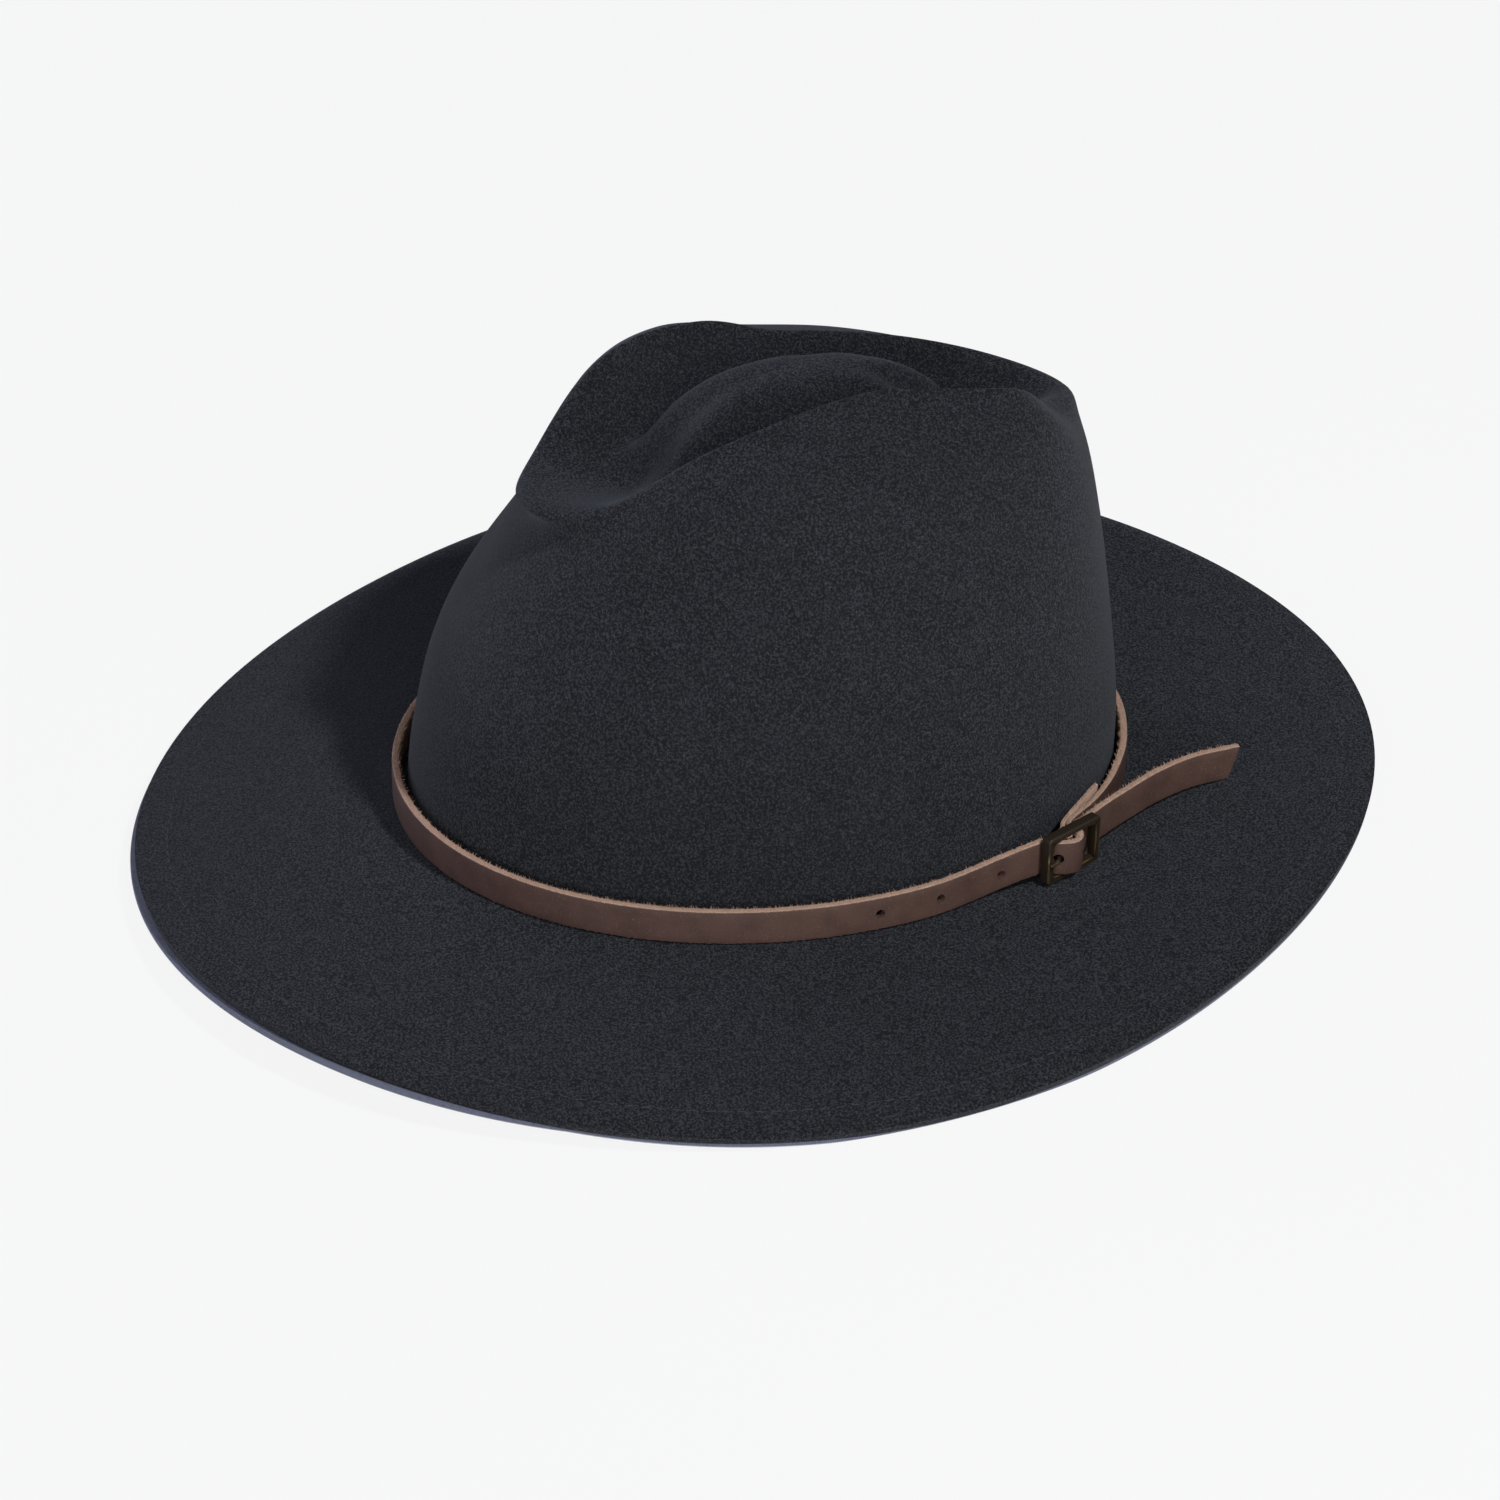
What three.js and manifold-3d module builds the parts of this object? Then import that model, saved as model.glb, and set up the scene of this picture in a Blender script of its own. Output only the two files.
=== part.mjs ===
// A felt rancher hat with a pinched teardrop crown, a wide brim and a thin leather belt with a brass buckle.
// Millimetres, +Z up. The front of the hat looks along -Y and the wearer's left side is +X.
// Everything is laid out in the crown's own axes, whose z = 0 is the plane of the head opening, and is then
// leaned onto the floor, where the hat rests on its brim. Angles run from the front towards the left side.

import * as THREE from 'three';
import { mergeVertices } from 'three/addons/utils/BufferGeometryUtils.js';
import Module from 'manifold-3d';

// The oval of the crown where it meets the brim, outside the felt
const OVAL_HALF_LENGTH = 100;
const OVAL_HALF_WIDTH = 82.5;
const FELT = 2.4;

// How far the top of the crown is set back from its base
const CROWN_SET_BACK = 11.2;
const SET_BACK_HEIGHT = 110;
const DOME_TOP = 123.4;

// One row for every 22.5 degrees from the front to the back, the same on both sides.
// low, mid, high and top: reach of the wall at four heights, as a share of the base oval.
// rim: reach of the crown's upper edge. height: its height. lift: how much the left side stands above
// and the right side below that height. skew: the same for the reach. crease and floor: reach and height
// of the groove's floor inside the edge, the reach as a share of the edge's.
const STATION_COLUMNS = ["low", "mid", "high", "top", "rim", "height", "lift", "skew", "crease", "floor"];
const STATIONS = [
  [0.997, 0.958, 0.846, 0.747, 0.743, 95.9, 0.0, 0.000, 0.63, 94.4],
  [0.996, 0.961, 0.834, 0.738, 0.688, 99.6, 2.4, -0.007, 0.70, 98.6],
  [0.990, 0.958, 0.807, 0.732, 0.592, 117.0, 2.4, -0.023, 0.60, 102.0],
  [0.985, 0.947, 0.822, 0.757, 0.485, 124.0, 4.3, -0.010, 0.57, 108.0],
  [0.982, 0.937, 0.836, 0.722, 0.402, 123.2, 6.7, -0.009, 0.56, 110.0],
  [0.980, 0.930, 0.846, 0.706, 0.414, 121.9, 7.3, -0.009, 0.58, 108.0],
  [0.979, 0.924, 0.850, 0.735, 0.562, 118.8, 8.5, 0.033, 0.61, 104.0],
  [0.978, 0.918, 0.846, 0.765, 0.631, 110.2, 3.5, -0.013, 0.62, 99.5],
  [0.978, 0.917, 0.853, 0.787, 0.714, 106.3, 0.0, 0.000, 0.69, 97.0],
].map((row) => Object.fromEntries(STATION_COLUMNS.map((name, i) => [name, row[i]])));
const WALL_HEIGHTS = { low: 0.2, mid: 0.45, high: 0.7, top: 0.9 };
const RIM_SHOULDER = { reach: 0.05, drop: 2.2 };
const GROOVE_SIDE = { in: 0.38, down: 0.42 };
const FLOOR_FOLLOWS = 0.7;
const DOME = [
  { share: 0.72, rise: 0.6 },
  { share: 0.4, rise: 0.93 },
];

// Brim: overhang past the oval and height of its edge, each as a mean and waves round the hat
const OVERHANG = { mean: 76.7, front: 1.65, ends: -2.25 };
const EDGE = {
  mean: -3.7, front: -13.2, ends: 0.55, front_thirds: 1.0, quarters: -0.55,
  left: -1.45, twist: 1.5, left_thirds: 3.1,
};
const BRIM_BOW = 0.15;
const ROOT_BELOW_STRAP = 0.45;
const DIP_UNDER_BUCKLE = { angle: 128, half_width: 45, depth: 0.9 };
const EDGE_ROUND = 0.8;
const BRIM_SHARES = [0.96, 0.92, 0.86, 0.66, 0.45, 0.26, 0.11];
const ROOT_CURVE = [
  { out: 3.2, up: 0.0 },
  { out: 1.2, up: 0.2 },
  { out: 0.2, up: 1.2 },
];
const WALL_FOOT = 4;

// At the sides the edge rolls down over its last few millimetres. The four angles, from the front on either
// side, are where the roll begins, is full, begins to fade and would be gone.
const EDGE_ROLL = { reach: 6, drop: 1.4, begins: 35, full: 70, fades: 150, gone: 200 };

// Ribbon under the brim's edge. At the front it shows past the felt, where the edge rolls it is hidden.
const TAPE = { width: 11, thickness: 1.2, under_felt: 0.6, past_edge: 0.5, under_roll: 1.6, bend: 4 };

// Leather strip
const STRAP = { width: 10, thickness: 2.0, pared: 1.3, middle_from_felt: 2.9 };
const STRAP_BOTTOM = { mean: -1.3, front: -0.9, left: -0.85 };
const HOLE = { radius: 1.3, from: 0.5, to: 6 };

// The buckle stands on the strap: plan point of its outer face over the centre bar, and the way its length
// runs. past_bar: how far the frame's middle is from that bar.
const BUCKLE = {
  x: 77.0, y: 62.6, turn: 115.4, length: 20.1, past_bar: 1.2, bottom: -1.4, height: 14.4, depth: 3.2, bar: 1.6,
};
const BUCKLE_CORNER = { outside: 1.2, inside: 0.6 };
const BUCKLE_ANGLE = 114;
const CENTRE_BAR = { out: -3.0, radius: 0.9 };
const PRONG = { width: 1.4, thickness: 1.1, gap: 0.3, steps: 24 };
const PRONG_HOOK = { from: 20, to: -180, step: 40 };

// The leather's route. The turned-back end and the round run are given by their angle round the crown and
// the distance of the strip's middle from the felt, and how far it is lifted off the brim. At the buckle it
// is given along and out of the buckle. The turned-back end is pared thin as far as the outer leg.
const TURNED_END = [
  { angle: 141, out: 1.5, lift: 1.6 },
  { angle: 137, out: 1.5, lift: 1.6 },
];
const FOLD = [
  { along: 8.5, out: -9.1 },
  { along: 4.2, out: -7.4 },
  { along: 1.2, out: -5.2 },
  { along: -1.2, out: -4.5 },
  { along: -1.9, out: -3.0 },
  { along: -1.2, out: -1.5 },
  { along: 0.3, out: -1.1 },
  { along: 1.8, out: -2.45 },
  { along: 3.4, out: -4.5 },
  { along: 5.4, out: -6.3 },
  { along: 8.5, out: -7.3 },
];
const OUTER_LEG = [
  { angle: 136, out: 4.3, lift: 1.5 },
  { angle: 143, out: 3.7, lift: 1.0 },
  { angle: 151, out: 3.1, lift: 0.5 },
];
const ROUND_RUN = { from: 159, to: 462, steps: 26 };
const THROUGH_BUCKLE = [
  { along: -19.0, out: -8.6 },
  { along: -13.0, out: -6.3 },
  { along: -9.5, out: -5.0 },
  { along: -6.9, out: -4.7 },
  { along: -5.4, out: -3.3 },
  { along: -4.3, out: -1.1 },
  { along: -2.4, out: 0.6 },
  { along: 0.0, out: 1.5 },
  { along: 2.4, out: 0.6 },
  { along: 4.3, out: -1.5 },
  { along: 5.4, out: -3.3 },
  { along: 6.9, out: -4.6 },
  { along: 9.5, out: -4.8 },
  { along: 14.0, out: -5.6 },
];
const TAIL = [
  { along: 20, out: -6.2 },
  { along: 27, out: -6.6 },
  { along: 41, out: -6.8 },
  { along: 53, out: -4.7 },
  { along: 63, out: -0.3 },
];
const RISE_AT_BUCKLE = { begins: -22, ends: -8, buckle: 0.6, tip: 3.3 };
const TIP_SLANT = 3;
const PUNCHED = [
  { angle: 92.5 },
  { angle: 102.5 },
  { angle: 114.0 },
];
const PRONG_HOLE = { along: -4.15, out: -0.95, radius: 1.5, reach: 3 };
const PRONG_SLOT = { along: -0.7, out: -3.25, length: 6.6, depth: 5.9, height: 2.4 };
const PRONG_ROUTE = [
  { along: -3.2, out: -1.9 },
  { along: -5.0, out: -0.1 },
  { along: -6.8, out: 0.9 },
  { along: -9.4, out: 0.95 },
];

// How the hat leans on the floor, and the middle of its outline
const LEAN_BACK = 4.62;
const LEAN_SIDE = -0.44;
const LIFT = 11.31;
const CENTRE = { x: 0.06, y: -2.43 };

// Mesh of the felt: columns round it, and rings in each span between two points of its contour
const COLUMNS = 60;
const SPANS = [1, 1, 1, 1, 1, 1, 1, 1, 1, 1, 1, 2, 2, 2, 2, 2, 2, 2, 2, 1, 1, 2];
const STRAP_STEPS = 3;
const SAME_POINT = 1e-4;
const UP = new THREE.Vector3(0, 0, 1);

const colours = {
  felt: new THREE.MeshStandardMaterial({ color: 0x26272b, roughness: 0.95, metalness: 0 }),
  tape: new THREE.MeshStandardMaterial({ color: 0x3a3d4a, roughness: 0.8, metalness: 0 }),
  leather: new THREE.MeshStandardMaterial({ color: 0x46322b, roughness: 0.6, metalness: 0 }),
  brass: new THREE.MeshStandardMaterial({ color: 0x8a6c35, roughness: 0.4, metalness: 1 }),
};

const radians = THREE.MathUtils.degToRad;

// Value of a station column at any angle, smoothly round the hat. The sided column is added on the left side
// and taken off on the right.
function around(column, angle, sided = null) {
  const count = (STATIONS.length - 1) * 2;
  const place = ((angle / 360) * count + count) % count;
  const first = Math.floor(place);
  const value = (i) => {
    const k = (i + count) % count;
    const left = k < STATIONS.length;
    const row = STATIONS[left ? k : count - k];
    return row[column] + (sided ? row[sided] * (left ? 1 : -1) : 0);
  };
  const [a, b, c, d] = [first - 1, first, first + 1, first + 2].map(value);
  const t = place - first;
  return b + 0.5 * t * (c - a + t * (2 * a - 5 * b + 4 * c - d + t * (3 * (b - c) + d - a)));
}

// Point of the crown at a share of the base oval
function crownPoint(angle, share, z) {
  const a = radians(angle);
  const back = CROWN_SET_BACK * THREE.MathUtils.clamp(z / SET_BACK_HEIGHT, 0, 1);
  return new THREE.Vector3(OVAL_HALF_WIDTH * share * Math.sin(a), -OVAL_HALF_LENGTH * share * Math.cos(a) + back, z);
}

// Point at a distance outside the base oval, square to it
function outsidePoint(angle, distance, z) {
  const a = radians(angle);
  const normal = new THREE.Vector3(Math.sin(a) / OVAL_HALF_WIDTH, -Math.cos(a) / OVAL_HALF_LENGTH, 0).normalize();
  return crownPoint(angle, 1, 0).addScaledVector(normal, distance).setZ(z);
}

function strapBottom(angle) {
  const a = radians(angle);
  return STRAP_BOTTOM.mean + STRAP_BOTTOM.front * Math.cos(a) + STRAP_BOTTOM.left * Math.sin(a);
}

function overhang(angle) {
  const a = radians(angle);
  return OVERHANG.mean + OVERHANG.front * Math.cos(a) + OVERHANG.ends * Math.cos(2 * a);
}

function edgeHeight(angle) {
  const a = radians(angle);
  const ends = EDGE.ends * Math.cos(2 * a) + EDGE.front_thirds * Math.cos(3 * a) + EDGE.quarters * Math.cos(4 * a);
  const sides = EDGE.left * Math.sin(a) + EDGE.twist * Math.sin(2 * a) + EDGE.left_thirds * Math.sin(3 * a);
  return EDGE.mean + EDGE.front * Math.cos(a) + ends + sides;
}

// Height of the brim's top where it meets the crown. The felt gives way a little under the buckle.
function rootHeight(angle) {
  const aside = THREE.MathUtils.clamp((angle - DIP_UNDER_BUCKLE.angle) / DIP_UNDER_BUCKLE.half_width, -1, 1);
  const dip = DIP_UNDER_BUCKLE.depth * (1 - aside * aside) ** 2;
  return strapBottom(angle) - ROOT_BELOW_STRAP - dip;
}

// 1 where the edge is rolled down, 0 where it isn't
function rolled(angle) {
  const fromFront = Math.min(Math.abs(angle) % 360, 360 - (Math.abs(angle) % 360));
  const { smoothstep } = THREE.MathUtils;
  const faded = smoothstep(fromFront, EDGE_ROLL.fades, EDGE_ROLL.gone);
  return smoothstep(fromFront, EDGE_ROLL.begins, EDGE_ROLL.full) * (1 - faded);
}

// Height of the brim's top surface at a share of its overhang
function brimHeight(angle, share) {
  const root = rootHeight(angle);
  const even = root + (edgeHeight(angle) - root) * share * (1 - BRIM_BOW + BRIM_BOW * share);
  const inside = (1 - share) * overhang(angle);
  const near = THREE.MathUtils.clamp(1 - inside / EDGE_ROLL.reach, 0, 1);
  return even - EDGE_ROLL.drop * rolled(angle) * near * near;
}

function brimPoint(angle, share, drop = 0) {
  return outsidePoint(angle, share * overhang(angle), brimHeight(angle, share) - drop);
}

// The felt's outer surface along one line from the brim's edge to the top of the dome
function contour(angle) {
  const width = overhang(angle);
  const root = rootHeight(angle);
  const points = [brimPoint(angle, 1 - EDGE_ROUND / width)];
  BRIM_SHARES.forEach((share) => points.push(brimPoint(angle, share)));
  ROOT_CURVE.forEach(({ out, up }) => points.push(outsidePoint(angle, out, root + up)));
  points.push(crownPoint(angle, 1, root + WALL_FOOT));
  const height = around('height', angle, 'lift');
  const rim = around('rim', angle, 'skew');
  Object.entries(WALL_HEIGHTS).forEach(([name, share]) => {
    points.push(crownPoint(angle, around(name, angle), share * height));
  });
  points.push(crownPoint(angle, rim + RIM_SHOULDER.reach, height - RIM_SHOULDER.drop));
  points.push(crownPoint(angle, rim, height));
  const crease = rim * around('crease', angle);
  const floor = around('floor', angle) + FLOOR_FOLLOWS * (height - around('height', angle));
  const { lerp } = THREE.MathUtils;
  points.push(crownPoint(angle, lerp(rim, crease, GROOVE_SIDE.in), lerp(height, floor, GROOVE_SIDE.down)));
  points.push(crownPoint(angle, crease, floor));
  DOME.forEach(({ share, rise }) => points.push(crownPoint(angle, share * crease, lerp(floor, DOME_TOP, rise))));
  points.push(crownPoint(angle, 0, DOME_TOP));
  return new THREE.CatmullRomCurve3(points, false, 'catmullrom', 0.5);
}

// Rings of the outer surface, from the brim's edge inwards, each with one point for each column
function outerRings() {
  const curves = [];
  for (let i = 0; i < COLUMNS; i++) {
    curves.push(contour((360 * i) / COLUMNS));
  }
  const rings = [];
  SPANS.forEach((parts, span) => {
    for (let j = 0; j < parts; j++) {
      rings.push(curves.map((curve) => curve.getPoint((span + j / parts) / SPANS.length)));
    }
  });
  return rings;
}

// The same rings set in by the felt's thickness, square to the surface
function innerRings(rings, apex) {
  return rings.map((ring, r) => ring.map((point, i) => {
    const along = new THREE.Vector3().subVectors(ring[(i + 1) % COLUMNS], ring[(i + COLUMNS - 1) % COLUMNS]);
    const inward = r + 1 < rings.length ? rings[r + 1][i] : apex;
    const outward = r > 0 ? rings[r - 1][i] : point;
    const up = new THREE.Vector3().subVectors(inward, outward);
    const normal = along.cross(up).normalize();
    return point.clone().addScaledVector(normal, -FELT);
  }));
}

// Closed mesh of stacked rings. A last single point closes an end.
function skin(rings, firstPoint = null, lastPoint = null) {
  const count = rings[0].length;
  const points = rings.flat();
  const faces = [];
  const at = (r, i) => r * count + (i % count);
  for (let r = 0; r + 1 < rings.length; r++) {
    for (let i = 0; i < count; i++) {
      faces.push(at(r, i), at(r, i + 1), at(r + 1, i + 1));
      faces.push(at(r, i), at(r + 1, i + 1), at(r + 1, i));
    }
  }
  if (firstPoint) {
    points.push(firstPoint);
    for (let i = 0; i < count; i++) {
      faces.push(points.length - 1, at(0, i + 1), at(0, i));
    }
  }
  if (lastPoint) {
    points.push(lastPoint);
    for (let i = 0; i < count; i++) {
      faces.push(points.length - 1, at(rings.length - 1, i), at(rings.length - 1, i + 1));
    }
  }
  const geometry = new THREE.BufferGeometry();
  geometry.setAttribute('position', new THREE.Float32BufferAttribute(points.flatMap((p) => p.toArray()), 3));
  geometry.setIndex(faces);
  return geometry;
}

function feltGeometry() {
  const outer = outerRings();
  const top = crownPoint(0, 0, DOME_TOP);
  const inner = innerRings(outer, top);
  const edge = [];
  for (let i = 0; i < COLUMNS; i++) {
    edge.push(brimPoint((360 * i) / COLUMNS, 1, FELT / 2));
  }
  const bottom = top.clone().addScaledVector(UP, -FELT);
  return skin([...inner.reverse(), edge, ...outer], bottom, top);
}

// The ribbon's section follows the underside of the brim
function tapeGeometry() {
  const rings = [];
  for (let i = 0; i < COLUMNS; i++) {
    const angle = (360 * i) / COLUMNS;
    const width = overhang(angle);
    const top = FELT + TAPE.under_felt;
    const bottom = top + TAPE.thickness;
    const outer = THREE.MathUtils.lerp(-TAPE.past_edge, TAPE.under_roll, rolled(angle));
    const at = (inside, drop) => brimPoint(angle, 1 - inside / width, drop);
    rings.push([
      at(TAPE.width, top),
      at(TAPE.bend, top),
      at(outer, top),
      at(outer, bottom),
      at(TAPE.bend, bottom),
      at(TAPE.width, bottom),
    ]);
  }
  rings.push(rings[0]);
  return mergeVertices(skin(rings), SAME_POINT);
}

const buckleTurn = radians(BUCKLE.turn);
const ALONG = new THREE.Vector3(Math.cos(buckleTurn), Math.sin(buckleTurn), 0);
const OUT = new THREE.Vector3(Math.sin(buckleTurn), -Math.cos(buckleTurn), 0);

function bucklePoint(along, out, z) {
  return new THREE.Vector3(BUCKLE.x, BUCKLE.y, z).addScaledVector(ALONG, along).addScaledVector(OUT, out);
}

// The strip's middle line at its bottom edge, from the turned-back end to the tip of the tail
function strapRoute() {
  const buckle = RISE_AT_BUCKLE.buckle;
  const points = [];
  const onCrown = ({ angle, out, lift }) => points.push(outsidePoint(angle, out, strapBottom(angle) + lift));
  TURNED_END.forEach(onCrown);
  FOLD.forEach(({ along, out }) => points.push(bucklePoint(along, out, buckle)));
  OUTER_LEG.forEach(onCrown);
  for (let i = 0; i <= ROUND_RUN.steps; i++) {
    const angle = THREE.MathUtils.lerp(ROUND_RUN.from, ROUND_RUN.to, i / ROUND_RUN.steps);
    onCrown({ angle, out: STRAP.middle_from_felt, lift: 0 });
  }
  THROUGH_BUCKLE.forEach(({ along, out }) => {
    const lift = THREE.MathUtils.smoothstep(along, RISE_AT_BUCKLE.begins, RISE_AT_BUCKLE.ends);
    points.push(bucklePoint(along, out, THREE.MathUtils.lerp(strapBottom(BUCKLE_ANGLE), buckle, lift)));
  });
  TAIL.forEach(({ along, out }) => {
    const share = along / TAIL[TAIL.length - 1].along;
    points.push(bucklePoint(along, out, THREE.MathUtils.lerp(buckle, RISE_AT_BUCKLE.tip, share * share)));
  });
  return new THREE.CatmullRomCurve3(points, false, 'centripetal');
}

function strapGeometry() {
  const route = strapRoute();
  const steps = STRAP_STEPS * (route.points.length - 1);
  const paredEnd = TURNED_END.length + FOLD.length - 1;
  const rings = [];
  for (let i = 0; i <= steps; i++) {
    const point = route.getPoint(i / steps);
    const tangent = route.getTangent(i / steps).setZ(0).normalize();
    const full = THREE.MathUtils.smoothstep(i / STRAP_STEPS, paredEnd, paredEnd + OUTER_LEG.length);
    const thickness = THREE.MathUtils.lerp(STRAP.pared, STRAP.thickness, full);
    const side = new THREE.Vector3(tangent.y, -tangent.x, 0).multiplyScalar(thickness / 2);
    const top = point.clone().addScaledVector(UP, STRAP.width);
    if (i === steps) {
      top.addScaledVector(tangent, TIP_SLANT);
    }
    rings.push([point.clone().add(side), point.clone().sub(side), top.clone().sub(side), top.clone().add(side)]);
  }
  const middle = (ring) => ring.reduce((sum, p) => sum.add(p), new THREE.Vector3()).multiplyScalar(0.25);
  return skin(rings, middle(rings[0]), middle(rings[steps]));
}

const wasm = await Module();
wasm.setup();

function toSolid(geometry) {
  const bare = geometry.clone();
  bare.deleteAttribute('normal');
  bare.deleteAttribute('uv');
  const merged = mergeVertices(bare, SAME_POINT);
  return new wasm.Manifold(new wasm.Mesh({
    numProp: 3,
    vertProperties: new Float32Array(merged.attributes.position.array),
    triVerts: new Uint32Array(merged.index.array),
  }));
}

function toGeometry(solid) {
  const mesh = solid.getMesh();
  const geometry = new THREE.BufferGeometry();
  geometry.setAttribute('position', new THREE.BufferAttribute(mesh.vertProperties, 3));
  geometry.setIndex(new THREE.BufferAttribute(mesh.triVerts, 1));
  return geometry;
}

// A round bar between two points
function bar(from, to, radius, sides = 8) {
  const way = new THREE.Vector3().subVectors(to, from);
  const geometry = new THREE.CylinderGeometry(radius, radius, way.length(), sides);
  const turn = new THREE.Quaternion().setFromUnitVectors(new THREE.Vector3(0, 1, 0), way.clone().normalize());
  geometry.applyQuaternion(turn);
  const middle = from.clone().add(to).multiplyScalar(0.5);
  return geometry.translate(middle.x, middle.y, middle.z);
}

// The strip with its punched holes, the prong's hole and the slot that lets the prong out of the fold
function punchedStrap() {
  let solid = toSolid(strapGeometry());
  const half = STRAP.width / 2;
  PUNCHED.forEach(({ angle }) => {
    const z = strapBottom(angle) + half;
    const tool = bar(outsidePoint(angle, HOLE.from, z), outsidePoint(angle, HOLE.to, z), HOLE.radius);
    solid = solid.subtract(toSolid(tool));
  });
  const z = RISE_AT_BUCKLE.buckle + half;
  const { along, out, radius, reach } = PRONG_HOLE;
  const hole = bar(bucklePoint(along + radius, out - radius, z), bucklePoint(along - reach, out + reach, z), radius);
  solid = solid.subtract(toSolid(hole));
  const slot = new THREE.BoxGeometry(PRONG_SLOT.length, PRONG_SLOT.depth, PRONG_SLOT.height);
  slot.rotateZ(buckleTurn);
  const place = bucklePoint(PRONG_SLOT.along, PRONG_SLOT.out, z);
  slot.translate(place.x, place.y, place.z);
  return toGeometry(solid.subtract(toSolid(slot)));
}

function roundedRectangle(width, height, radius, path) {
  const x = width / 2;
  const y = height / 2;
  path.moveTo(-x + radius, -y);
  path.lineTo(x - radius, -y);
  path.quadraticCurveTo(x, -y, x, -y + radius);
  path.lineTo(x, y - radius);
  path.quadraticCurveTo(x, y, x - radius, y);
  path.lineTo(-x + radius, y);
  path.quadraticCurveTo(-x, y, -x, y - radius);
  path.lineTo(-x, -y + radius);
  path.quadraticCurveTo(-x, -y, -x + radius, -y);
  return path;
}

// Turns a shape drawn along and up, and pushed out, into the buckle's place
function toBuckle(geometry) {
  const middle = BUCKLE.bottom + BUCKLE.height / 2;
  const place = bucklePoint(0, 0, middle);
  const matrix = new THREE.Matrix4().makeBasis(ALONG, UP, OUT);
  geometry.applyMatrix4(matrix.setPosition(place));
  return geometry;
}

function buckleGeometry() {
  const shape = roundedRectangle(BUCKLE.length, BUCKLE.height, BUCKLE_CORNER.outside, new THREE.Shape());
  const inside = 2 * BUCKLE.bar;
  const corner = BUCKLE_CORNER.inside;
  const opening = roundedRectangle(BUCKLE.length - inside, BUCKLE.height - inside, corner, new THREE.Path());
  shape.holes.push(opening);
  const options = { depth: BUCKLE.depth, bevelEnabled: false, curveSegments: 3 };
  const frame = toBuckle(new THREE.ExtrudeGeometry(shape, options).translate(BUCKLE.past_bar, 0, -BUCKLE.depth));
  const low = bucklePoint(0, CENTRE_BAR.out, BUCKLE.bottom + BUCKLE.bar / 2);
  const high = bucklePoint(0, CENTRE_BAR.out, BUCKLE.bottom + BUCKLE.height - BUCKLE.bar / 2);
  return toGeometry(toSolid(frame).add(toSolid(bar(low, high, CENTRE_BAR.radius, 10))));
}

// The prong is hooked round the centre bar and comes out through the strap to lie on the frame
function prongGeometry() {
  const z = RISE_AT_BUCKLE.buckle + STRAP.width / 2;
  const hook = CENTRE_BAR.radius + PRONG.gap + PRONG.thickness / 2;
  const points = [];
  for (let turn = PRONG_HOOK.from; turn >= PRONG_HOOK.to; turn -= PRONG_HOOK.step) {
    const a = radians(turn);
    points.push(bucklePoint(hook * Math.cos(a), CENTRE_BAR.out + hook * Math.sin(a), z));
  }
  PRONG_ROUTE.forEach(({ along, out }) => points.push(bucklePoint(along, out, z)));
  const route = new THREE.CatmullRomCurve3(points, false, 'centripetal');
  const { steps } = PRONG;
  const rings = [];
  for (let i = 0; i <= steps; i++) {
    const point = route.getPoint(i / steps);
    const tangent = route.getTangent(i / steps).setZ(0).normalize();
    const side = new THREE.Vector3(tangent.y, -tangent.x, 0).multiplyScalar(PRONG.thickness / 2);
    const up = UP.clone().multiplyScalar(PRONG.width / 2);
    rings.push([[1, -1], [-1, -1], [-1, 1], [1, 1]].map(([s, u]) => (
      point.clone().addScaledVector(side, s).addScaledVector(up, u)
    )));
  }
  const middle = (ring) => ring.reduce((sum, p) => sum.add(p), new THREE.Vector3()).multiplyScalar(0.25);
  return skin(rings, middle(rings[0]), middle(rings[steps]));
}

// Leans a piece as the hat rests. What would press into the floor is flattened on it.
function settle(geometry) {
  const lean = new THREE.Matrix4().makeRotationX(radians(-LEAN_BACK));
  lean.premultiply(new THREE.Matrix4().makeRotationY(radians(LEAN_SIDE)));
  geometry.applyMatrix4(lean.setPosition(-CENTRE.x, -CENTRE.y, LIFT));
  const position = geometry.attributes.position;
  for (let i = 0; i < position.count; i++) {
    position.setZ(i, Math.max(position.getZ(i), 0));
  }
  geometry.computeVertexNormals();
  return geometry;
}

const hat = new THREE.Group();

function addPiece(name, geometry, material) {
  const mesh = new THREE.Mesh(settle(geometry), material);
  mesh.name = name;
  hat.add(mesh);
}

addPiece('felt_body', feltGeometry(), colours.felt);
addPiece('edge_tape', tapeGeometry(), colours.tape);
addPiece('belt_strap', punchedStrap(), colours.leather);
addPiece('buckle_frame', buckleGeometry(), colours.brass);
addPiece('buckle_prong', prongGeometry(), colours.brass);

export default hat;
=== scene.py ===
"""Felt rancher hat: pinched crown, ribbon under the brim's edge, thin leather belt with a buckle."""

from math import cos, floor, pi, radians, sin, sqrt

import bmesh
import bpy
import numpy as np
from bpy.props import FloatProperty, FloatVectorProperty, IntProperty, PointerProperty
from mathutils import Matrix, Vector, noise


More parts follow.
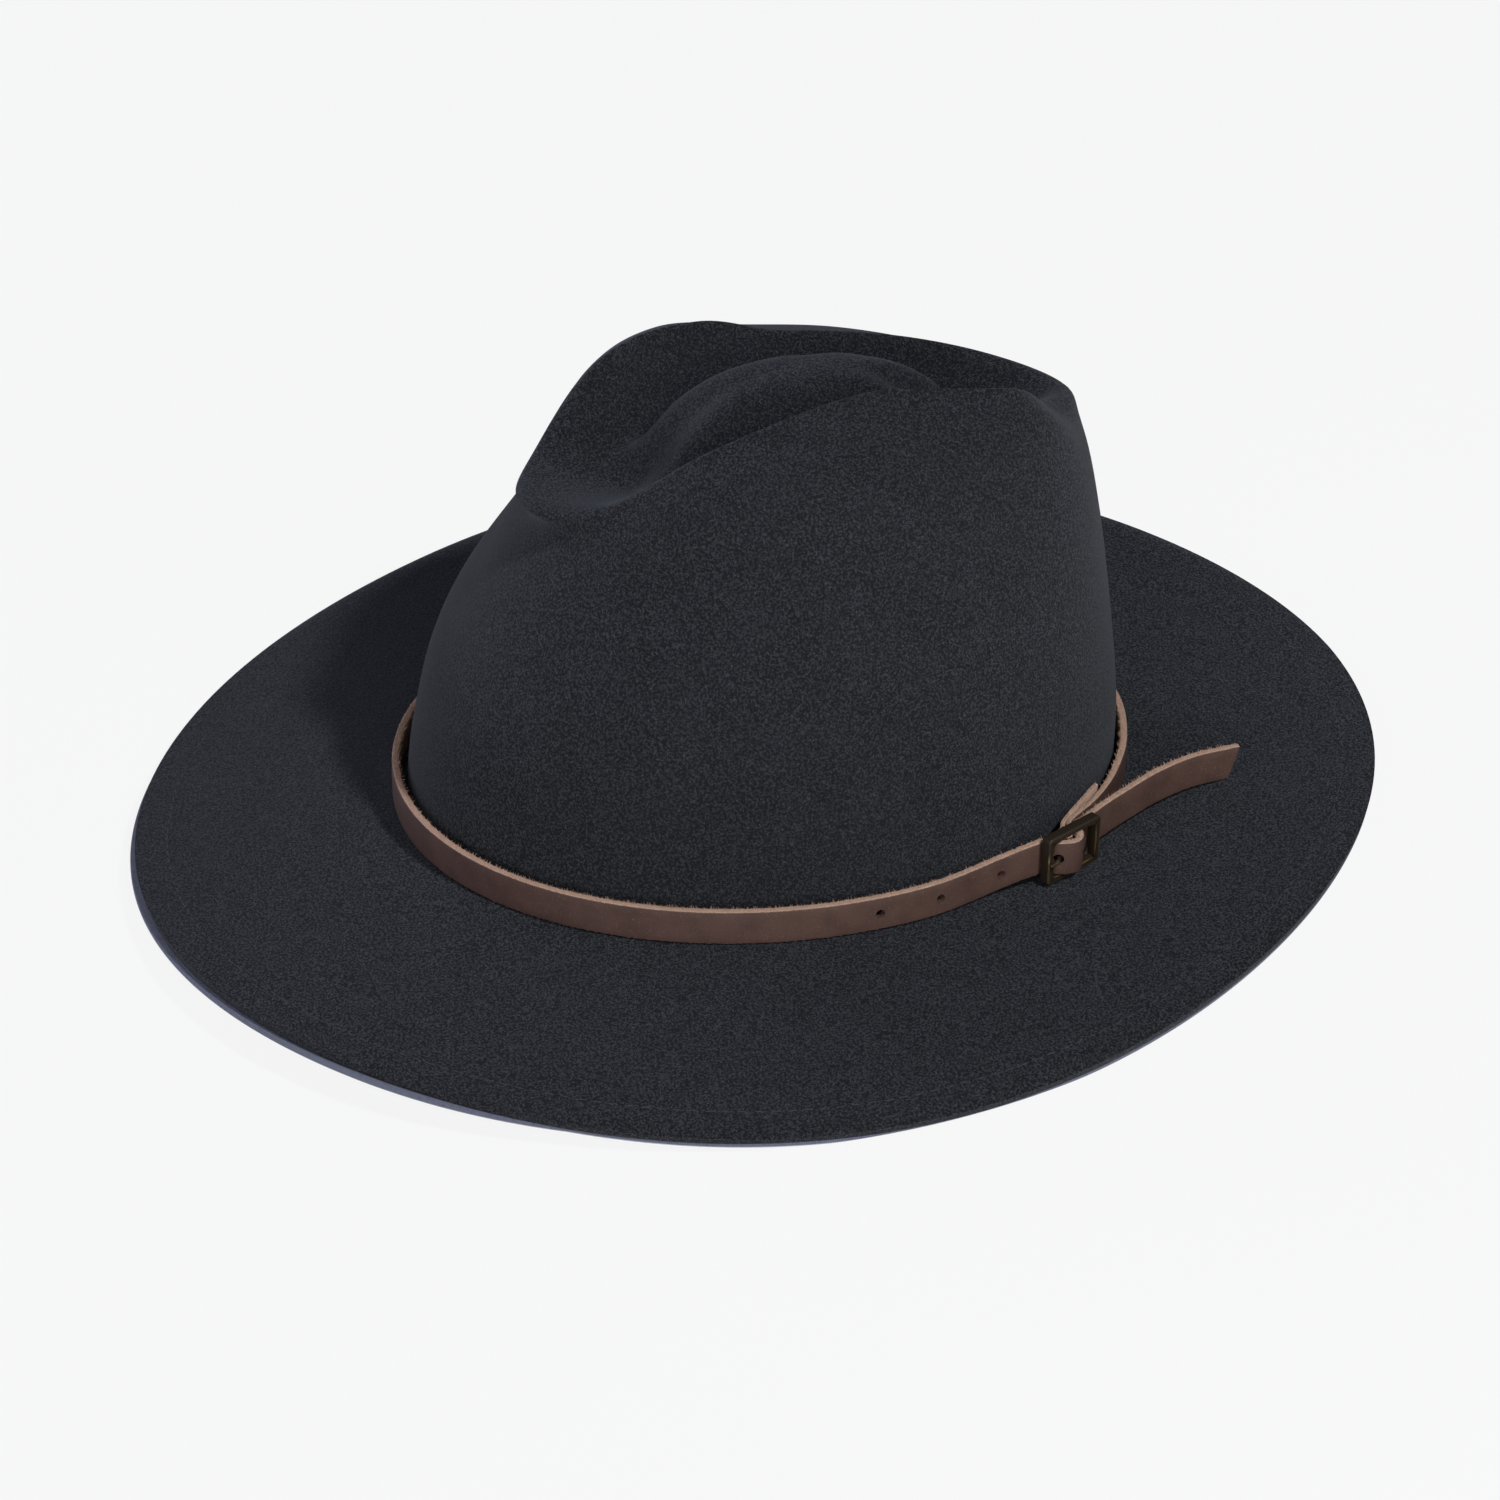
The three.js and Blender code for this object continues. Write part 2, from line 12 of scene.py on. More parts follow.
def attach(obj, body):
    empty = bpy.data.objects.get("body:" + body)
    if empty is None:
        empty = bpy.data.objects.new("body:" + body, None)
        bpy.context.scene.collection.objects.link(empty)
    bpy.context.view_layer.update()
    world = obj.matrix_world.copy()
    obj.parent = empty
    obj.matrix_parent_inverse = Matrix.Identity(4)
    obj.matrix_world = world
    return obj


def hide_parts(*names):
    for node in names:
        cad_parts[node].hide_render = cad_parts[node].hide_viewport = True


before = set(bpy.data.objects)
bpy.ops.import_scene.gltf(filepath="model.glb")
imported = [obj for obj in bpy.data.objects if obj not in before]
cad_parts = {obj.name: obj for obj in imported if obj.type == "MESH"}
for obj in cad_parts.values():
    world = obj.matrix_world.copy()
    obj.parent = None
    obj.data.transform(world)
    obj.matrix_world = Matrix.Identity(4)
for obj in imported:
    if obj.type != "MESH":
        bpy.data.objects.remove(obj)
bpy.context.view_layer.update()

bl_info = {
    "name": "Rancher hat",
    "version": (1, 0, 0),
    "blender": (4, 5, 0),
    "location": "View3D > Sidebar > Hat",
    "description": "Models a felt rancher hat with its ribbon, stitching, leather belt and buckle",
    "category": "Add Mesh",
}

# Sizes in the tables below are millimetres in the crown's own axes, as in the solids: z = 0 is the plane of
# the head opening, the front looks along -Y and the wearer's left is +X. Angles run from the front towards
# the left.
MM = 0.001

OVAL_HALF_LENGTH = 100.0
OVAL_HALF_WIDTH = 82.5
CROWN_SET_BACK = 11.2
SET_BACK_HEIGHT = 110.0
DOME_TOP = 123.4

# One value for every 22.5 degrees from the front to the back. A least-squares program found these values
# from points on the photo, except floor and one value of top. They were not chosen by hand. The same holds
# for OVERHANG, EDGE and CAMERA.
# low, mid, high and top: reach of the wall at four heights, as a share of the base oval. rim and height: the
# crown's upper edge. lift and skew: how much the left side has more, and the right side less, of height and
# rim. crease and floor: reach, as a share of the rim's, and height of the groove's floor.
STATIONS = {
    "low": (0.997, 0.996, 0.990, 0.985, 0.982, 0.980, 0.979, 0.978, 0.978),
    "mid": (0.958, 0.961, 0.958, 0.947, 0.937, 0.930, 0.924, 0.918, 0.917),
    "high": (0.846, 0.834, 0.807, 0.822, 0.836, 0.846, 0.850, 0.846, 0.853),
    "top": (0.747, 0.738, 0.732, 0.757, 0.722, 0.706, 0.735, 0.765, 0.787),
    "rim": (0.743, 0.688, 0.592, 0.485, 0.402, 0.414, 0.562, 0.631, 0.714),
    "height": (95.9, 99.6, 117.0, 124.0, 123.2, 121.9, 118.8, 110.2, 106.3),
    "lift": (0.0, 2.4, 2.4, 4.3, 6.7, 7.3, 8.5, 3.5, 0.0),
    "skew": (0.000, -0.007, -0.023, -0.010, -0.009, -0.009, 0.033, -0.013, 0.000),
    "crease": (0.63, 0.70, 0.60, 0.57, 0.56, 0.58, 0.61, 0.62, 0.69),
    "floor": (94.4, 98.6, 102.0, 108.0, 110.0, 108.0, 104.0, 99.5, 97.0),
}
WALL_HEIGHTS = {"low": 0.2, "mid": 0.45, "high": 0.7, "top": 0.9}
RIM_SHOULDER = {"reach": 0.05, "drop": 2.2}
GROOVE_SIDE = {"in": 0.38, "down": 0.42}
FLOOR_FOLLOWS = 0.7
DOME = ({"share": 0.72, "rise": 0.6}, {"share": 0.4, "rise": 0.93})

OVERHANG = {"mean": 76.7, "front": 1.65, "ends": -2.25}
EDGE = {
    "mean": -3.7, "front": -13.2, "ends": 0.55, "front_thirds": 1.0, "quarters": -0.55,
    "left": -1.45, "twist": 1.5, "left_thirds": 3.1,
}
BRIM_BOW = 0.15
ROOT_BELOW_STRAP = 0.45
DIP_UNDER_BUCKLE = {"angle": 128, "half_width": 45, "depth": 0.9}
EDGE_ROUND = 0.8
BRIM_SHARES = (0.96, 0.92, 0.86, 0.66, 0.45, 0.26, 0.11)
# At the sides the edge rolls down. The angles, from the front, are where the roll begins, is full and fades.
EDGE_ROLL = {"reach": 6, "drop": 1.4, "begins": 35, "full": 70, "fades": 150, "gone": 200}
ROOT_CURVE = ({"out": 3.2, "up": 0.0}, {"out": 1.2, "up": 0.2}, {"out": 0.2, "up": 1.2})
WALL_FOOT = 4.0
FELT = 2.4

TAPE = {"past_edge": 0.5, "under_roll": 1.6, "bend": 4}
RIBBON_UNDER_FELT = 0.15

STRAP = {"pared": 1.3, "middle_from_felt": 2.9}
STRAP_BOTTOM = {"mean": -1.3, "front": -0.9, "left": -0.85}
HOLE = {"radius": 1.3, "from": 0.5, "to": 6}
BUCKLE = {
    "x": 77.0, "y": 62.6, "turn": 115.4, "length": 20.1, "past_bar": 1.2, "bottom": -1.4,
    "height": 14.4, "depth": 3.2,
}
CENTRE_BAR = {"out": -3.0, "radius": 0.9}
BUCKLE_CORNER = 1.2
RUBBED_EDGE = 0.5
# Painted shade: within this distance of the buckle's top, the bright edges are dimmed.
SHADED_TOP_BAND = 2.0
BUCKLE_ANGLE = 114
TURNED_END = ((141, 1.5, 1.6), (137, 1.5, 1.6))
FOLD = (
    (8.5, -9.1), (4.2, -7.4), (1.2, -5.2), (-1.2, -4.5), (-1.9, -3.0), (-1.2, -1.5), (0.3, -1.1),
    (1.8, -2.45), (3.4, -4.5), (5.4, -6.3), (8.5, -7.3),
)
OUTER_LEG = ((136, 4.3, 1.5), (143, 3.7, 1.0), (151, 3.1, 0.5))
# Loose fibres on the strip's raw top: where they stand across it, their length and their number
FRAY = {"in": -1.0, "out": 0.5, "length": 0.8, "radius": 0.13, "count": 4200}
ROUND_RUN = {"from": 159, "to": 462, "steps": 26}
THROUGH_BUCKLE = (
    (-19.0, -8.6), (-13.0, -6.3), (-9.5, -5.0), (-6.9, -4.7), (-5.4, -3.3), (-4.3, -1.1), (-2.4, 0.6),
    (0.0, 1.5), (2.4, 0.6), (4.3, -1.5), (5.4, -3.3), (6.9, -4.6), (9.5, -4.8), (14.0, -5.6),
)
TAIL = ((20, -6.2), (27, -6.6), (41, -6.8), (53, -4.7), (63, -0.3))
RISE_AT_BUCKLE = {"begins": -22, "ends": -8, "buckle": 0.6, "tip": 3.3}
TIP_SLANT = 3.0
PUNCHED = (92.5, 102.5, 114.0)
PRONG_HOLE = {"along": -4.15, "out": -0.95, "radius": 1.5, "reach": 3}
PRONG_SLOT = {"along": -0.7, "out": -3.25, "length": 6.6, "depth": 5.9, "height": 2.4}
PRONG = {"gap": 0.3, "thickness": 1.1, "width": 1.4}
PRONG_ROUTE = ((-3.2, -1.9), (-5.0, -0.1), (-6.8, 0.9), (-9.4, 0.95))

LEAN_BACK = 4.62
LEAN_SIDE = -0.44
LIFT = 11.31
CENTRE = (0.06, -2.43)
ON_FLOOR = (
    Matrix.Translation((-CENTRE[0] * MM, -CENTRE[1] * MM, LIFT * MM))
    @ Matrix.Rotation(radians(LEAN_SIDE), 4, "Y")
    @ Matrix.Rotation(radians(-LEAN_BACK), 4, "X")
    @ Matrix.Scale(MM, 4)
)

# Camera: the point it looks at, its distance, and the way it looks
CAMERA = {
    "aim": (0.0145, -0.0049, 0.0261), "distance": 1.4785, "azimuth": 73.66, "elevation": 33.52, "roll": -3.82,
}
CAMERA_LENS = 128.98


def mix(a, b, share):
    return a + (b - a) * share


def smooth_step(value, low, high):
    t = min(max((value - low) / (high - low), 0.0), 1.0)
    return t * t * (3 - 2 * t)


# The hat's form


def around(column, angle, sided=None):
    """Value of a station column at any angle, smoothly round the hat."""
    values = STATIONS[column]
    extra = STATIONS[sided] if sided else None
    count = (len(values) - 1) * 2
    place = (angle / 360 * count) % count
    first = floor(place)

    def value(i):
        k = i % count
        left = k < len(values)
        row = k if left else count - k
        return values[row] + (extra[row] * (1 if left else -1) if extra else 0)

    a, b, c, d = (value(first + i) for i in (-1, 0, 1, 2))
    t = place - first
    return b + 0.5 * t * (c - a + t * (2 * a - 5 * b + 4 * c - d + t * (3 * (b - c) + d - a)))


def crown_point(angle, share, z):
    a = radians(angle)
    back = CROWN_SET_BACK * min(max(z / SET_BACK_HEIGHT, 0), 1)
    return Vector((OVAL_HALF_WIDTH * share * sin(a), -OVAL_HALF_LENGTH * share * cos(a) + back, z))


def outside_point(angle, distance, z):
    a = radians(angle)
    normal = Vector((sin(a) / OVAL_HALF_WIDTH, -cos(a) / OVAL_HALF_LENGTH, 0)).normalized()
    point = crown_point(angle, 1, 0) + normal * distance
    point.z = z
    return point


def strap_bottom(angle):
    a = radians(angle)
    return STRAP_BOTTOM["mean"] + STRAP_BOTTOM["front"] * cos(a) + STRAP_BOTTOM["left"] * sin(a)


def overhang(angle):
    a = radians(angle)
    return OVERHANG["mean"] + OVERHANG["front"] * cos(a) + OVERHANG["ends"] * cos(2 * a)


def edge_height(angle):
    a = radians(angle)
    ends = EDGE["ends"] * cos(2 * a) + EDGE["front_thirds"] * cos(3 * a) + EDGE["quarters"] * cos(4 * a)
    sides = EDGE["left"] * sin(a) + EDGE["twist"] * sin(2 * a) + EDGE["left_thirds"] * sin(3 * a)
    return EDGE["mean"] + EDGE["front"] * cos(a) + ends + sides


def root_height(angle):
    """Height of the brim's top where it meets the crown, with the dip under the buckle."""
    aside = min(max((angle % 360 - DIP_UNDER_BUCKLE["angle"]) / DIP_UNDER_BUCKLE["half_width"], -1), 1)
    dip = DIP_UNDER_BUCKLE["depth"] * (1 - aside * aside) ** 2
    return strap_bottom(angle) - ROOT_BELOW_STRAP - dip


def rolled(angle):
    """1 where the edge is rolled down, 0 where it isn't."""
    from_front = min(angle % 360, 360 - angle % 360)
    faded = smooth_step(from_front, EDGE_ROLL["fades"], EDGE_ROLL["gone"])
    return smooth_step(from_front, EDGE_ROLL["begins"], EDGE_ROLL["full"]) * (1 - faded)


def brim_height(angle, share):
    root = root_height(angle)
    even = root + (edge_height(angle) - root) * share * (1 - BRIM_BOW + BRIM_BOW * share)
    near = min(max(1 - (1 - share) * overhang(angle) / EDGE_ROLL["reach"], 0), 1)
    return even - EDGE_ROLL["drop"] * rolled(angle) * near * near


def brim_point(angle, share, drop=0.0):
    return outside_point(angle, share * overhang(angle), brim_height(angle, share) - drop)


def contour(angle):
    """Points of the felt's outer surface along one line, from the brim's edge to the top of the dome."""
    width = overhang(angle)
    root = root_height(angle)
    points = [brim_point(angle, 1 - EDGE_ROUND / width)]
    points += [brim_point(angle, share) for share in BRIM_SHARES]
    points += [outside_point(angle, step["out"], root + step["up"]) for step in ROOT_CURVE]
    points.append(crown_point(angle, 1, root + WALL_FOOT))
    height = around("height", angle, "lift")
    rim = around("rim", angle, "skew")
    for name, share in WALL_HEIGHTS.items():
        points.append(crown_point(angle, around(name, angle), share * height))
    points.append(crown_point(angle, rim + RIM_SHOULDER["reach"], height - RIM_SHOULDER["drop"]))
    points.append(crown_point(angle, rim, height))
    crease = rim * around("crease", angle)
    low = around("floor", angle) + FLOOR_FOLLOWS * (height - around("height", angle))
    halfway = mix(height, low, GROOVE_SIDE["down"])
    points.append(crown_point(angle, mix(rim, crease, GROOVE_SIDE["in"]), halfway))
    points.append(crown_point(angle, crease, low))
    points += [crown_point(angle, ring["share"] * crease, mix(low, DOME_TOP, ring["rise"])) for ring in DOME]
    points.append(crown_point(angle, 0, DOME_TOP))
    return points


def smooth_curve(points, place, even=True):
    """Point of a smooth curve through the points. place counts the points from 0."""
    last = len(points) - 1
    i = min(int(place), last - 1)
    t = place - i
    b, c = points[i], points[i + 1]
    a = points[i - 1] if i > 0 else 2 * b - c
    d = points[i + 2] if i + 2 <= last else 2 * c - b
    if even:
        m1, m2 = (c - a) / 2, (d - b) / 2
    else:
        ab, bc, cd = (sqrt((q - p).length) for p, q in ((a, b), (b, c), (c, d)))
        m1 = ((b - a) / ab - (c - a) / (ab + bc) + (c - b) / bc) * bc
        m2 = ((c - b) / bc - (d - b) / (bc + cd) + (d - c) / cd) * bc
    return b + m1 * t + (3 * (c - b) - 2 * m1 - m2) * t**2 + (2 * (b - c) + m1 + m2) * t**3


def settle(point):
    """A point in millimetres on the crown's axes, taken to the floor's axes in metres and kept above it."""
    placed = ON_FLOOR @ point
    placed.z = max(placed.z, 0)
    return placed


BUCKLE_ALONG = Vector((cos(radians(BUCKLE["turn"])), sin(radians(BUCKLE["turn"])), 0))
BUCKLE_OUT = Vector((sin(radians(BUCKLE["turn"])), -cos(radians(BUCKLE["turn"])), 0))


def buckle_point(along, out, z):
    return Vector((BUCKLE["x"], BUCKLE["y"], z)) + BUCKLE_ALONG * along + BUCKLE_OUT * out


def strap_route():
    """The strip's middle line at its bottom edge, from the turned-back end to the tip of the tail."""
    level = RISE_AT_BUCKLE["buckle"]
    points = [outside_point(angle, out, strap_bottom(angle) + lift) for angle, out, lift in TURNED_END]
    points += [buckle_point(along, out, level) for along, out in FOLD]
    points += [outside_point(angle, out, strap_bottom(angle) + lift) for angle, out, lift in OUTER_LEG]
    for i in range(ROUND_RUN["steps"] + 1):
        angle = mix(ROUND_RUN["from"], ROUND_RUN["to"], i / ROUND_RUN["steps"])
        points.append(outside_point(angle, STRAP["middle_from_felt"], strap_bottom(angle)))
    for along, out in THROUGH_BUCKLE:
        lift = smooth_step(along, RISE_AT_BUCKLE["begins"], RISE_AT_BUCKLE["ends"])
        points.append(buckle_point(along, out, mix(strap_bottom(BUCKLE_ANGLE), level, lift)))
    for along, out in TAIL:
        share = along / TAIL[-1][0]
        points.append(buckle_point(along, out, mix(level, RISE_AT_BUCKLE["tip"], share * share)))
    return points


# Modelling helpers


def deselect():
    if bpy.context.object and bpy.context.object.mode != "OBJECT":
        bpy.ops.object.mode_set(mode="OBJECT")
    bpy.ops.object.select_all(action="DESELECT")


def select_only(piece):
    deselect()
    piece.select_set(True)
    bpy.context.view_layer.objects.active = piece


def shaped_grid(name, across, along, place):
    """A grid whose vertices go where place(column, row) says, with its meeting edges merged."""
    deselect()
    bpy.ops.mesh.primitive_grid_add(x_subdivisions=across, y_subdivisions=along, size=2)
    piece = bpy.context.object
    piece.name = piece.data.name = name
    flat = np.empty(len(piece.data.vertices) * 3)
    piece.data.vertices.foreach_get("co", flat)
    flat = flat.reshape(-1, 3)
    columns = np.rint((flat[:, 0] + 1) / 2 * across).astype(int)
    rows = np.rint((flat[:, 1] + 1) / 2 * along).astype(int)
    placed = [place(int(c), int(r)) for c, r in zip(columns, rows)]
    piece.data.vertices.foreach_set("co", np.array(placed).ravel())
    piece.data.update()
    return piece, columns, rows


def edit_mesh(piece, *steps):
    """Runs edit-mode steps on the whole piece."""
    select_only(piece)
    bpy.ops.object.mode_set(mode="EDIT")
    bpy.ops.mesh.select_all(action="SELECT")
    for step in steps:
        step()
    bpy.ops.object.mode_set(mode="OBJECT")


def weld():
    bpy.ops.mesh.remove_doubles(threshold=2e-6)


def face_outwards():
    bpy.ops.mesh.normals_make_consistent(inside=False)


def close_holes():
    bpy.ops.mesh.fill_holes(sides=0)


def add_attribute(piece, name, values):
    made = piece.data.attributes.new(name, "FLOAT", "POINT")
    made.data.foreach_set("value", np.array(values, dtype=np.float32))


def apply_modifier(piece, kind, **settings):
    select_only(piece)
    made = piece.modifiers.new(kind.title(), kind)
    for name, value in settings.items():
        setattr(made, name, value)
    bpy.ops.object.modifier_apply(modifier=made.name)


def smooth_shade(piece, angle=50):
    select_only(piece)
    bpy.ops.object.shade_smooth_by_angle(angle=radians(angle))


def join(pieces, name):
    deselect()
    for piece in pieces:
        piece.select_set(True)
    bpy.context.view_layer.objects.active = pieces[0]
    bpy.ops.object.join()
    joined = bpy.context.object
    joined.name = joined.data.name = name
    return joined


def check_closed(piece):
    """Raises an error if the piece's mesh has an open or doubled edge."""
    shell = bmesh.new()
    shell.from_mesh(piece.data)
    bad = sum(not edge.is_manifold for edge in shell.edges)
    loose = sum(not vertex.link_faces for vertex in shell.verts)
    volume = shell.calc_volume(signed=True)
    shell.free()
    if bad or loose or volume <= 0:
        raise RuntimeError(f"{piece.name}: {bad} open edges, {loose} loose points, volume {volume:.3g}")


def finish_piece(piece, material, slot, *nodes):
    check_closed(piece)
    piece.data.materials.clear()
    piece.data.materials.append(material)
    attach(piece, "root")
    if nodes:
        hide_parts(*nodes)


# Shader helpers


def new_material(name):
    made = bpy.data.materials.new(name)
    made.use_nodes = True
    return made, made.node_tree, made.node_tree.nodes["Principled BSDF"]


def noise_node(tree, at, scale, detail=2.0, rough=0.5, distortion=0.0):
    made = tree.nodes.new("ShaderNodeTexNoise")
    made.location = at
    made.inputs["Scale"].default_value = scale
    made.inputs["Detail"].default_value = detail
    made.inputs["Roughness"].default_value = rough
    made.inputs["Distortion"].default_value = distortion
    return made


def math_node(tree, at, operation, a=None, b=None):
    made = tree.nodes.new("ShaderNodeMath")
    made.location = at
    made.operation = operation
    for socket, value in zip(made.inputs, (a, b)):
        if value is None:
            continue
        if isinstance(value, (int, float)):
            socket.default_value = value
        else:
            tree.links.new(value, socket)
    return made.outputs[0]


def range_node(tree, at, value, low, high, to_low=0.0, to_high=1.0):
    made = tree.nodes.new("ShaderNodeMapRange")
    made.location = at
    made.interpolation_type = "SMOOTHSTEP"
    for name, number in (("From Min", low), ("From Max", high), ("To Min", to_low), ("To Max", to_high)):
        made.inputs[name].default_value = number
    tree.links.new(value, made.inputs["Value"])
    return made.outputs[0]


def colour_mix(tree, at, share, a, b, blend="MIX"):
    made = tree.nodes.new("ShaderNodeMix")
    made.location = at
    made.data_type = "RGBA"
    made.blend_type = blend
    for socket, value in ((made.inputs["Factor"], share), (made.inputs["A"], None), (made.inputs["B"], None)):
        if value is not None:
            if isinstance(value, (int, float)):
                socket.default_value = value
            else:
                tree.links.new(value, socket)
    colour_inputs = [socket for socket in made.inputs if socket.type == "RGBA"]
    for socket, value in zip(colour_inputs, (a, b)):
        if isinstance(value, bpy.types.NodeSocket):
            tree.links.new(value, socket)
        else:
            socket.default_value = (*value, 1)
    return next(socket for socket in made.outputs if socket.type == "RGBA")


def new_group(name, inputs, outputs):
    """An empty shader group with its sockets, its input node and its output node."""
    group = bpy.data.node_groups.new(name, "ShaderNodeTree")
    for socket, kind, value in inputs:
        made = group.interface.new_socket(socket, in_out="INPUT", socket_type=kind)
        if value is not None:
            made.default_value = value
    for socket, kind in outputs:
        group.interface.new_socket(socket, in_out="OUTPUT", socket_type=kind)
    start = group.nodes.new("NodeGroupInput")
    start.location = (-900, 0)
    end = group.nodes.new("NodeGroupOutput")
    end.location = (700, 0)
    return group, start, end


def scale_texture(group, start, texture, scale):
    """Gives a texture the group's Vector, and its Scale times the texture's own."""
    at = (texture.location.x - 200, texture.location.y)
    group.links.new(start.outputs["Vector"], texture.inputs["Vector"])
    size = math_node(group, at, "MULTIPLY", start.outputs["Scale"], float(scale))
    group.links.new(size, texture.inputs["Scale"])


def fibre_group():
    """Short curly fibres lying every way: a mask of the light ones and a height for bump."""
    name = "Short fibres"
    if name in bpy.data.node_groups:
        return bpy.data.node_groups[name]
    group, start, end = new_group(
        name,
        (
            ("Vector", "NodeSocketVector", None), ("Scale", "NodeSocketFloat", 1.0),
            ("Cover", "NodeSocketFloat", 0.5),
        ),
        (("Fibres", "NodeSocketFloat"), ("Height", "NodeSocketFloat")),
    )
    lines = []
    for i, (scale, width) in enumerate(((1900, 0.032), (3100, 0.04))):
        curls = noise_node(group, (-500, 200 - 300 * i), scale, detail=1.0, distortion=0.6)
        scale_texture(group, start, curls, scale)
        away = math_node(group, (-300, 200 - 300 * i), "SUBTRACT", curls.outputs["Fac"], 0.5)
        away = math_node(group, (-150, 200 - 300 * i), "ABSOLUTE", away)
        lines.append(range_node(group, (0, 200 - 300 * i), away, width, 0.0))
    breaks = noise_node(group, (-500, -400), 1500, detail=2.0)
    scale_texture(group, start, breaks, 1500)
    level = math_node(group, (-150, -550), "SUBTRACT", 1.0, start.outputs["Cover"])
    present = math_node(group, (-150, -400), "SUBTRACT", breaks.outputs["Fac"], level)
    present = range_node(group, (0, -400), present, -0.06, 0.06)
    both = math_node(group, (200, 0), "MAXIMUM", lines[0], lines[1])
    shown = math_node(group, (350, 0), "MULTIPLY", both, present)
    group.links.new(shown, end.inputs["Fibres"])
    height = math_node(group, (350, -200), "ADD", shown, breaks.outputs["Fac"])
    group.links.new(height, end.inputs["Height"])
    return group


def grain_group():
    """Fine pebbled grain: cell borders, pores and a height for bump."""
    name = "Fine grain"
    if name in bpy.data.node_groups:
        return bpy.data.node_groups[name]
    group, start, end = new_group(
        name,
        (("Vector", "NodeSocketVector", None), ("Scale", "NodeSocketFloat", 1.0)),
        (("Specks", "NodeSocketFloat"), ("Mottle", "NodeSocketFloat"), ("Height", "NodeSocketFloat")),
    )
    cells = group.nodes.new("ShaderNodeTexVoronoi")
    cells.location = (-400, 200)
    cells.feature = "DISTANCE_TO_EDGE"
    scale_texture(group, start, cells, 1900)
    specks = noise_node(group, (-400, -100), 2200, detail=1.0)
    scale_texture(group, start, specks, 2200)
    mottle = noise_node(group, (-400, -400), 160, detail=3.0)
    scale_texture(group, start, mottle, 160)
    domes = range_node(group, (-150, 200), cells.outputs["Distance"], 0.0, 0.12)
    group.links.new(range_node(group, (-150, -100), specks.outputs["Fac"], 0.62, 0.75), end.inputs["Specks"])
    group.links.new(mottle.outputs["Fac"], end.inputs["Mottle"])
    height = math_node(group, (100, 200), "MULTIPLY", domes, 0.6)
    height = math_node(group, (250, 200), "ADD", height, specks.outputs["Fac"])
    group.links.new(height, end.inputs["Height"])
    return group


def place_group(tree, group, at, vector=None, **values):
    made = tree.nodes.new("ShaderNodeGroup")
    made.node_tree = group
    made.location = at
    for name, value in values.items():
        made.inputs[name].default_value = value
    if vector:
        tree.links.new(vector, made.inputs["Vector"])
    return made


def object_coordinates(tree, at=(-1300, 0)):
    made = tree.nodes.new("ShaderNodeTexCoord")
    made.location = at
    return made.outputs["Object"]


def attribute(tree, at, name):
    made = tree.nodes.new("ShaderNodeAttribute")
    made.location = at
    made.attribute_name = name
    return made.outputs["Fac"]


def bump(tree, at, height, strength, distance, normal=None):
    made = tree.nodes.new("ShaderNodeBump")
    made.location = at
    made.inputs["Strength"].default_value = strength
    made.inputs["Distance"].default_value = distance
    tree.links.new(height, made.inputs["Height"])
    if normal:
        tree.links.new(normal, made.inputs["Normal"])
    return made.outputs["Normal"]


# Settings


def length_setting(name, description, default):
    return FloatProperty(name=name, description=description, default=default, unit="LENGTH", precision=5)


def colour_setting(name, description, default):
    return FloatVectorProperty(
        name=name, description=description, subtype="COLOR", default=default, min=0, max=1
    )


def power_setting(name, description, default):
    return FloatProperty(name=name, description=description, default=default, unit="POWER", min=0)


class HatFeltSettings(bpy.types.PropertyGroup):
    """Sizes and colours of the felt"""

    thickness: length_setting("Thickness", "Thickness of the felt of crown and brim", FELT * MM)
    columns: IntProperty(name="Columns", description="Faces round the hat", default=240, min=60, max=300)
    colour: colour_setting("Felt", "Colour of the felt's ground", (0.0080, 0.0083, 0.0105))
    fibre_colour: colour_setting("Fibres", "Colour of the light fibres on it", (0.082, 0.085, 0.100))


class HatRibbonSettings(bpy.types.PropertyGroup):
    """Sizes and colours of the ribbon and of the stitches that hold it"""

    width: length_setting("Width", "Width of the ribbon", 0.011)
    thickness: length_setting("Thickness", "Thickness of the ribbon with its ribs", 0.0011)
    ribs: IntProperty(
        name="Ribs", description="Ribs of the ribbon all round the brim", default=1800, min=100, max=2400
    )
    rib_height: length_setting("Rib height", "How far the ribs stand out", 0.00011)
    colour: colour_setting("Ribbon", "Colour of the ribbon", (0.13, 0.14, 0.215))
    stitch_inset: length_setting("Stitch inset", "From the felt's edge to the row of stitches", 0.0098)
    stitch_pitch: length_setting("Stitch pitch", "From one stitch to the next", 0.0042)
    thread_colour: colour_setting("Thread", "Colour of the thread", (0.038, 0.042, 0.050))


class HatBeltSettings(bpy.types.PropertyGroup):
    """Sizes and colours of the leather belt"""

    width: length_setting("Width", "Width of the leather strip", 0.010)
    thickness: length_setting("Thickness", "Thickness of the leather strip", 0.002)
    step: length_setting("Step", "Length of the mesh's steps", 0.0005)
    roughness: length_setting("Raw edge", "How uneven the cut edges are", 0.00014)
    colour: colour_setting("Grain side", "Colour of the finished side", (0.086, 0.046, 0.038))
    raw_colour: colour_setting("Raw leather", "Colour of cut edges and flesh side", (0.58, 0.37, 0.28))


class HatBrassSettings(bpy.types.PropertyGroup):
    """Sizes and colours of the buckle"""

    bar: length_setting("Bar", "Width of the frame's bars", 0.0016)
    # Shown where the brass is worn bare, and where a painted highlight stands in for the light's reflection
    # on the frame.
    colour: colour_setting("Rubbed brass", "Colour where the brass is rubbed bright", (0.74, 0.52, 0.22))
    patina_colour: colour_setting("Patina", "Colour of the darkened brass", (0.040, 0.026, 0.017))


